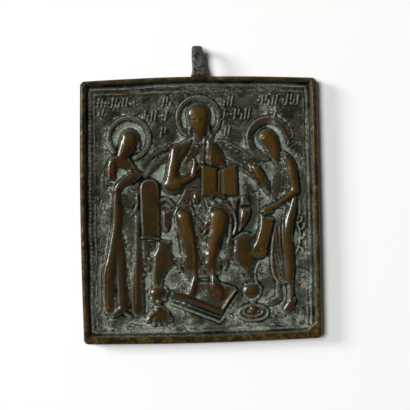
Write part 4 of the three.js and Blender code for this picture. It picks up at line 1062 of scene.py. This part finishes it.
def patinatedBronze():
    # cast bronze, worn to glossy brown on what stands proud, dull grey-brown oxide on the ground,
    # black dirt and painted shade in the crevices and powdery grey-green copper salts at the foot of the
    # forms
    material = bpy.data.materials.new("patinated_bronze")
    material.use_nodes = True
    tree = material.node_tree
    tree.nodes.remove(tree.nodes["Principled BSDF"])
    tint = {name: srgb(code) for name, code in bronze["tints"].items()}
    point = node(tree, "TexCoord", {}, {}, "Object")
    across = node(tree, "SeparateXYZ", {}, [point], "X")
    up = node(tree, "SeparateXYZ", {}, [point], "Y")
    mark = {}
    for name in readings:
        mark[name] = node(tree, "Attribute", dict(attribute_name=name, attribute_type="GEOMETRY"), {}, "Fac")
    pattern = {}
    for name, (size, detail, rough) in bronze["patterns"].items():
        inputs = {"Vector": point, "Scale": 1 / (size * mm), "Detail": detail, "Roughness": rough}
        pattern[name] = node(tree, "TexNoise", {}, inputs, "Fac")
    mottled = {}
    for name, (kind, low, high, first, second) in bronze["mottled"].items():
        share = node(tree, "MapRange", smooth, [pattern[kind], low, high])
        mottled[name] = node(tree, "Mix", colourMix, {0: share, 6: tint[first], 7: tint[second]}, 2)
    wander = node(tree, "Math", plus, [pattern["speckled"], pattern["cloudy"]])
    wander = node(tree, "Math", timesPlus, [wander, 0.5, -0.5])
    broken = node(tree, "Math", plus, [pattern["speckled"], pattern["fine"]])
    broken = node(tree, "Math", times, [broken, 0.6])
    uneven = node(tree, "Math", plus, [broken, -0.6])

    # metal: brown where it stands proud, rubbed the most on the right half, which is handled most
    share = node(tree, "MapRange", smooth, [pattern["reddish"], 0.42, 0.7, 0, 0.7])
    brown = node(tree, "Mix", colourMix, {0: share, 6: mottled["brown"], 7: tint["russet"]}, 2)
    worn = node(tree, "Math", plus, [mark["proud"], wander])
    polish = node(tree, "MapRange", smooth, [worn, 0.45, 1])
    handled = node(tree, "MapRange", smooth, [across, -18 * mm, 20 * mm, -0.1, 0.35])
    handled = node(tree, "Math", plus, [worn, handled])
    rubbed = node(tree, "MapRange", smooth, [handled, 1.3, 1.8, 0, 0.75])
    specks = node(tree, "MapRange", smooth, [broken, 0.576, 0.744, 0, 0.45])
    # the rim and the eye
    share = node(tree, "MapRange", smooth, [pattern["speckled"], 0.45, 0.62])
    rimMetal = node(tree, "Mix", colourMix, {0: share, 6: mottled["rim"], 7: tint["oxideDark"]}, 2)
    onRim = node(tree, "MapRange", smooth, [mark["step"], 0.9, 0.8])
    rimShare = node(tree, "Math", times, [onRim, 0.8])
    onEye = node(tree, "MapRange", smooth, [mark["step"], -0.3, -0.7])

    # copper salts lie at the foot of the forms, in drifts towards the lower end, and in shelter
    dusted = node(tree, "Math", timesPlus, [uneven, 0.9, mark["foot"]])
    dusted = node(tree, "MapRange", smooth, [dusted, 0.09, 0.2])
    lower = node(tree, "MapRange", smooth, [up, 12 * mm, -26 * mm, 0, 0.16])
    drifts = node(tree, "Math", plus, [pattern["drifts"], lower])
    drifts = node(tree, "MapRange", smooth, [drifts, 0.45, 0.7])
    crumbly = node(tree, "MapRange", smooth, [broken, 0.52, 0.7, 0, 0.6])
    drifts = node(tree, "Math", times, [drifts, crumbly])
    kept = node(tree, "Math", timesPlus, [uneven, 0.8, mark["sheltered"]])
    kept = node(tree, "MapRange", smooth, [kept, 0.1, 0.4, 0, 0.45])
    for other in (drifts, kept):
        dusted = node(tree, "Math", larger, [dusted, other])
    # fewer on the left and the top border, and none on what stands proud
    atLeft = node(tree, "MapRange", smooth, [across, -21.5 * mm, -23.5 * mm])
    atTop = node(tree, "MapRange", smooth, [up, 24.5 * mm, 26.5 * mm])
    cleaner = node(tree, "Math", larger, [atLeft, atTop])
    for inputs in ([cleaner, 0, 1, 1, 0.5], [mark["proud"], 1.2, 0.5, 0, 0.9]):
        share = node(tree, "MapRange", smooth, inputs)
        dusted = node(tree, "Math", times, [dusted, share])

    # pale dust and a painted highlight on the crisp edges, and black dirt with painted shade in the crevices
    crevice = node(tree, "Math", timesPlus, [wander, 0.06, mark["hollow"]])
    # pale line on the crests: dust, and a painted highlight along the edges
    edgeDustAndHighlight = node(tree, "MapRange", smooth, [crevice, -0.05, -0.17, 0, 0.55])
    for inputs in ([mark["proud"], 1.5, 0.9], [broken, 0.48, 0.64, 0.25, 1], [onRim, 0, 1, 1, 0.35]):
        share = node(tree, "MapRange", smooth, inputs)
        edgeDustAndHighlight = node(tree, "Math", times, [edgeDustAndHighlight, share])
    # black in the narrow crevices: partly dirt, partly painted shade
    dirtAndShade = node(tree, "MapRange", smooth, [crevice, 0.055, 0.13])
    dirtAndShadeShare = node(tree, "Math", times, [dirtAndShade, 0.92])

    # each layer covers the ones before it by its share
    colour = mottled["oxide"]
    for share, layer in (
        (polish, brown), (rubbed, tint["rubbed"]), (specks, tint["oxideDark"]), (rimShare, rimMetal),
        (onEye, mottled["eye"]), (dusted, mottled["salts"]), (edgeDustAndHighlight, tint["edge"]), (dirtAndShadeShare, tint["sootAndShade"]),
    ):
        colour = node(tree, "Mix", colourMix, {0: share, 6: colour, 7: layer}, 2)

    # polished metal is smooth and shiny, and oxide, salts and the dirt and painted shade of the crevices are
    # dull
    roughness = node(tree, "MapRange", smooth, [polish, 0, 1, 0.65, 0.35])
    for value, share in ((dusted, 0.3), (pattern["fine"], 0.2)):
        roughness = node(tree, "Math", timesPlus, [value, share, roughness])
    metallic = node(tree, "MapRange", smooth, [polish, 0, 1, 0.1, 0.4])
    covered = node(tree, "Math", plus, [dusted, dirtAndShade])
    bare = node(tree, "MapRange", smooth, [covered, 0, 0.6, 1, 0.05])
    metallic = node(tree, "Math", times, [metallic, bare])
    # no coat gloss on the dirt and painted shade of the crevices
    awayFromDirtAndShade = node(tree, "MapRange", smooth, [dirtAndShade, 0, 0.5, 1, 0])
    offRim = node(tree, "MapRange", smooth, [onRim, 0, 1, 1, 0.4])
    coat = node(tree, "Math", smaller, [awayFromDirtAndShade, offRim])
    coat = node(tree, "Math", times, [polish, coat])
    strength = node(tree, "MapRange", smooth, [polish, 0, 1, 0.6, 0.25])
    bump = node(tree, "Bump", {}, {"Strength": strength, "Distance": 0.05 * mm, "Height": broken})
    shader = node(tree, "BsdfPrincipled", {}, {
        "Base Color": colour,
        "Roughness": roughness,
        "Metallic": metallic,
        "Specular IOR Level": 0.08,
        "Coat Weight": coat,
        "Coat Roughness": 0.24,
        "Normal": bump,
    })
    tree.links.new(shader, tree.nodes["Material Output"].inputs["Surface"])
    return material


casting.data.materials.clear()
casting.data.materials.append(patinatedBronze())
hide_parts("icon")
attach(casting, "root")
print("dressed in patina")


stage = dict(
    floorSize=1.2,
    paper="#dededd",
    frameWidth=93.07,  # mm across the photograph at the height of the rim
    aim=(1.0, 1.23),  # mm, the point under the camera
    turn=-1.1,  # degrees
    lens=100.0,
    sensor=36.0,
)


def paperFloor():
    # matt white card, which gives a soft shadow and no gloss
    material = bpy.data.materials.new("matt_card")
    material.use_nodes = True
    tree = material.node_tree
    shader = tree.nodes["Principled BSDF"]
    shader.inputs["Base Color"].default_value = srgb(stage["paper"])
    shader.inputs["Roughness"].default_value = 0.9
    half = stage["floorSize"] / 2
    mesh = bpy.data.meshes.new("floor")
    corners = [(-half, -half, 0), (half, -half, 0), (half, half, 0), (-half, half, 0)]
    mesh.from_pydata(corners, [], [(0, 1, 2, 3)])
    mesh.materials.append(material)
    floor = bpy.data.objects.new("floor", mesh)
    bpy.context.scene.collection.objects.link(floor)


def areaLight(name, position, size, watts, mirrored):
    lamp = bpy.data.lights.new(name, "AREA")
    lamp.shape = "DISK"
    lamp.size = size
    lamp.energy = watts
    made = bpy.data.objects.new(name, lamp)
    made.location = position
    made.rotation_euler = (-Vector(position)).to_track_quat("-Z", "Y").to_euler()
    made.visible_glossy = mirrored
    bpy.context.scene.collection.objects.link(made)


light = dict(
    roomDim=0.07,
    roomBright=0.22,
    brightSide=(-0.7, 0.6, 0.1),
    # positions and sizes in mm; "mirrored" says whether the metal shows a highlight of the lamp
    overhead=dict(position=(-680, 160, 1620), size=760, watts=30.0, mirrored=False),
    window=dict(position=(-1560, 520, 800), size=600, watts=31.2, mirrored=True),
)


def studio():
    # a soft lamp high at the upper left lights the paper, and a low window on the left
    # gives the bronze its highlights; the rest of the room is dim
    world = bpy.data.worlds.new("studio")
    world.use_nodes = True
    tree = world.node_tree
    direction = node(tree, "TexCoord", {}, {}, "Generated")
    side = Vector(light["brightSide"]).normalized()
    facing = node(tree, "VectorMath", dict(operation="DOT_PRODUCT"), [direction, side], "Value")
    strength = node(tree, "MapRange", smooth, [facing, 0.1, 1.0, light["roomDim"], light["roomBright"]])
    tree.links.new(strength, tree.nodes["Background"].inputs["Strength"])
    tree.nodes["Background"].inputs["Color"].default_value = (1, 1, 1, 1)
    bpy.context.scene.world = world
    for name in ("overhead", "window"):
        lamp = light[name]
        position = [c * mm for c in lamp["position"]]
        areaLight(name, position, lamp["size"] * mm, lamp["watts"], lamp["mirrored"])


def overheadCamera():
    distance = stage["lens"] / stage["sensor"] * stage["frameWidth"]
    camera = bpy.data.cameras.new("camera")
    camera.lens = stage["lens"]
    camera.sensor_width = stage["sensor"]
    made = bpy.data.objects.new("camera", camera)
    x, y = stage["aim"]
    rimTop = plate["ground"] + rim["rise"]
    made.location = (x * mm, y * mm, (rimTop + distance) * mm)
    made.rotation_euler = (0, 0, math.radians(stage["turn"]))
    bpy.context.scene.collection.objects.link(made)
    bpy.context.scene.camera = made
    bpy.context.scene.view_settings.view_transform = "Standard"


paperFloor()
studio()
overheadCamera()
print("lit the stage")
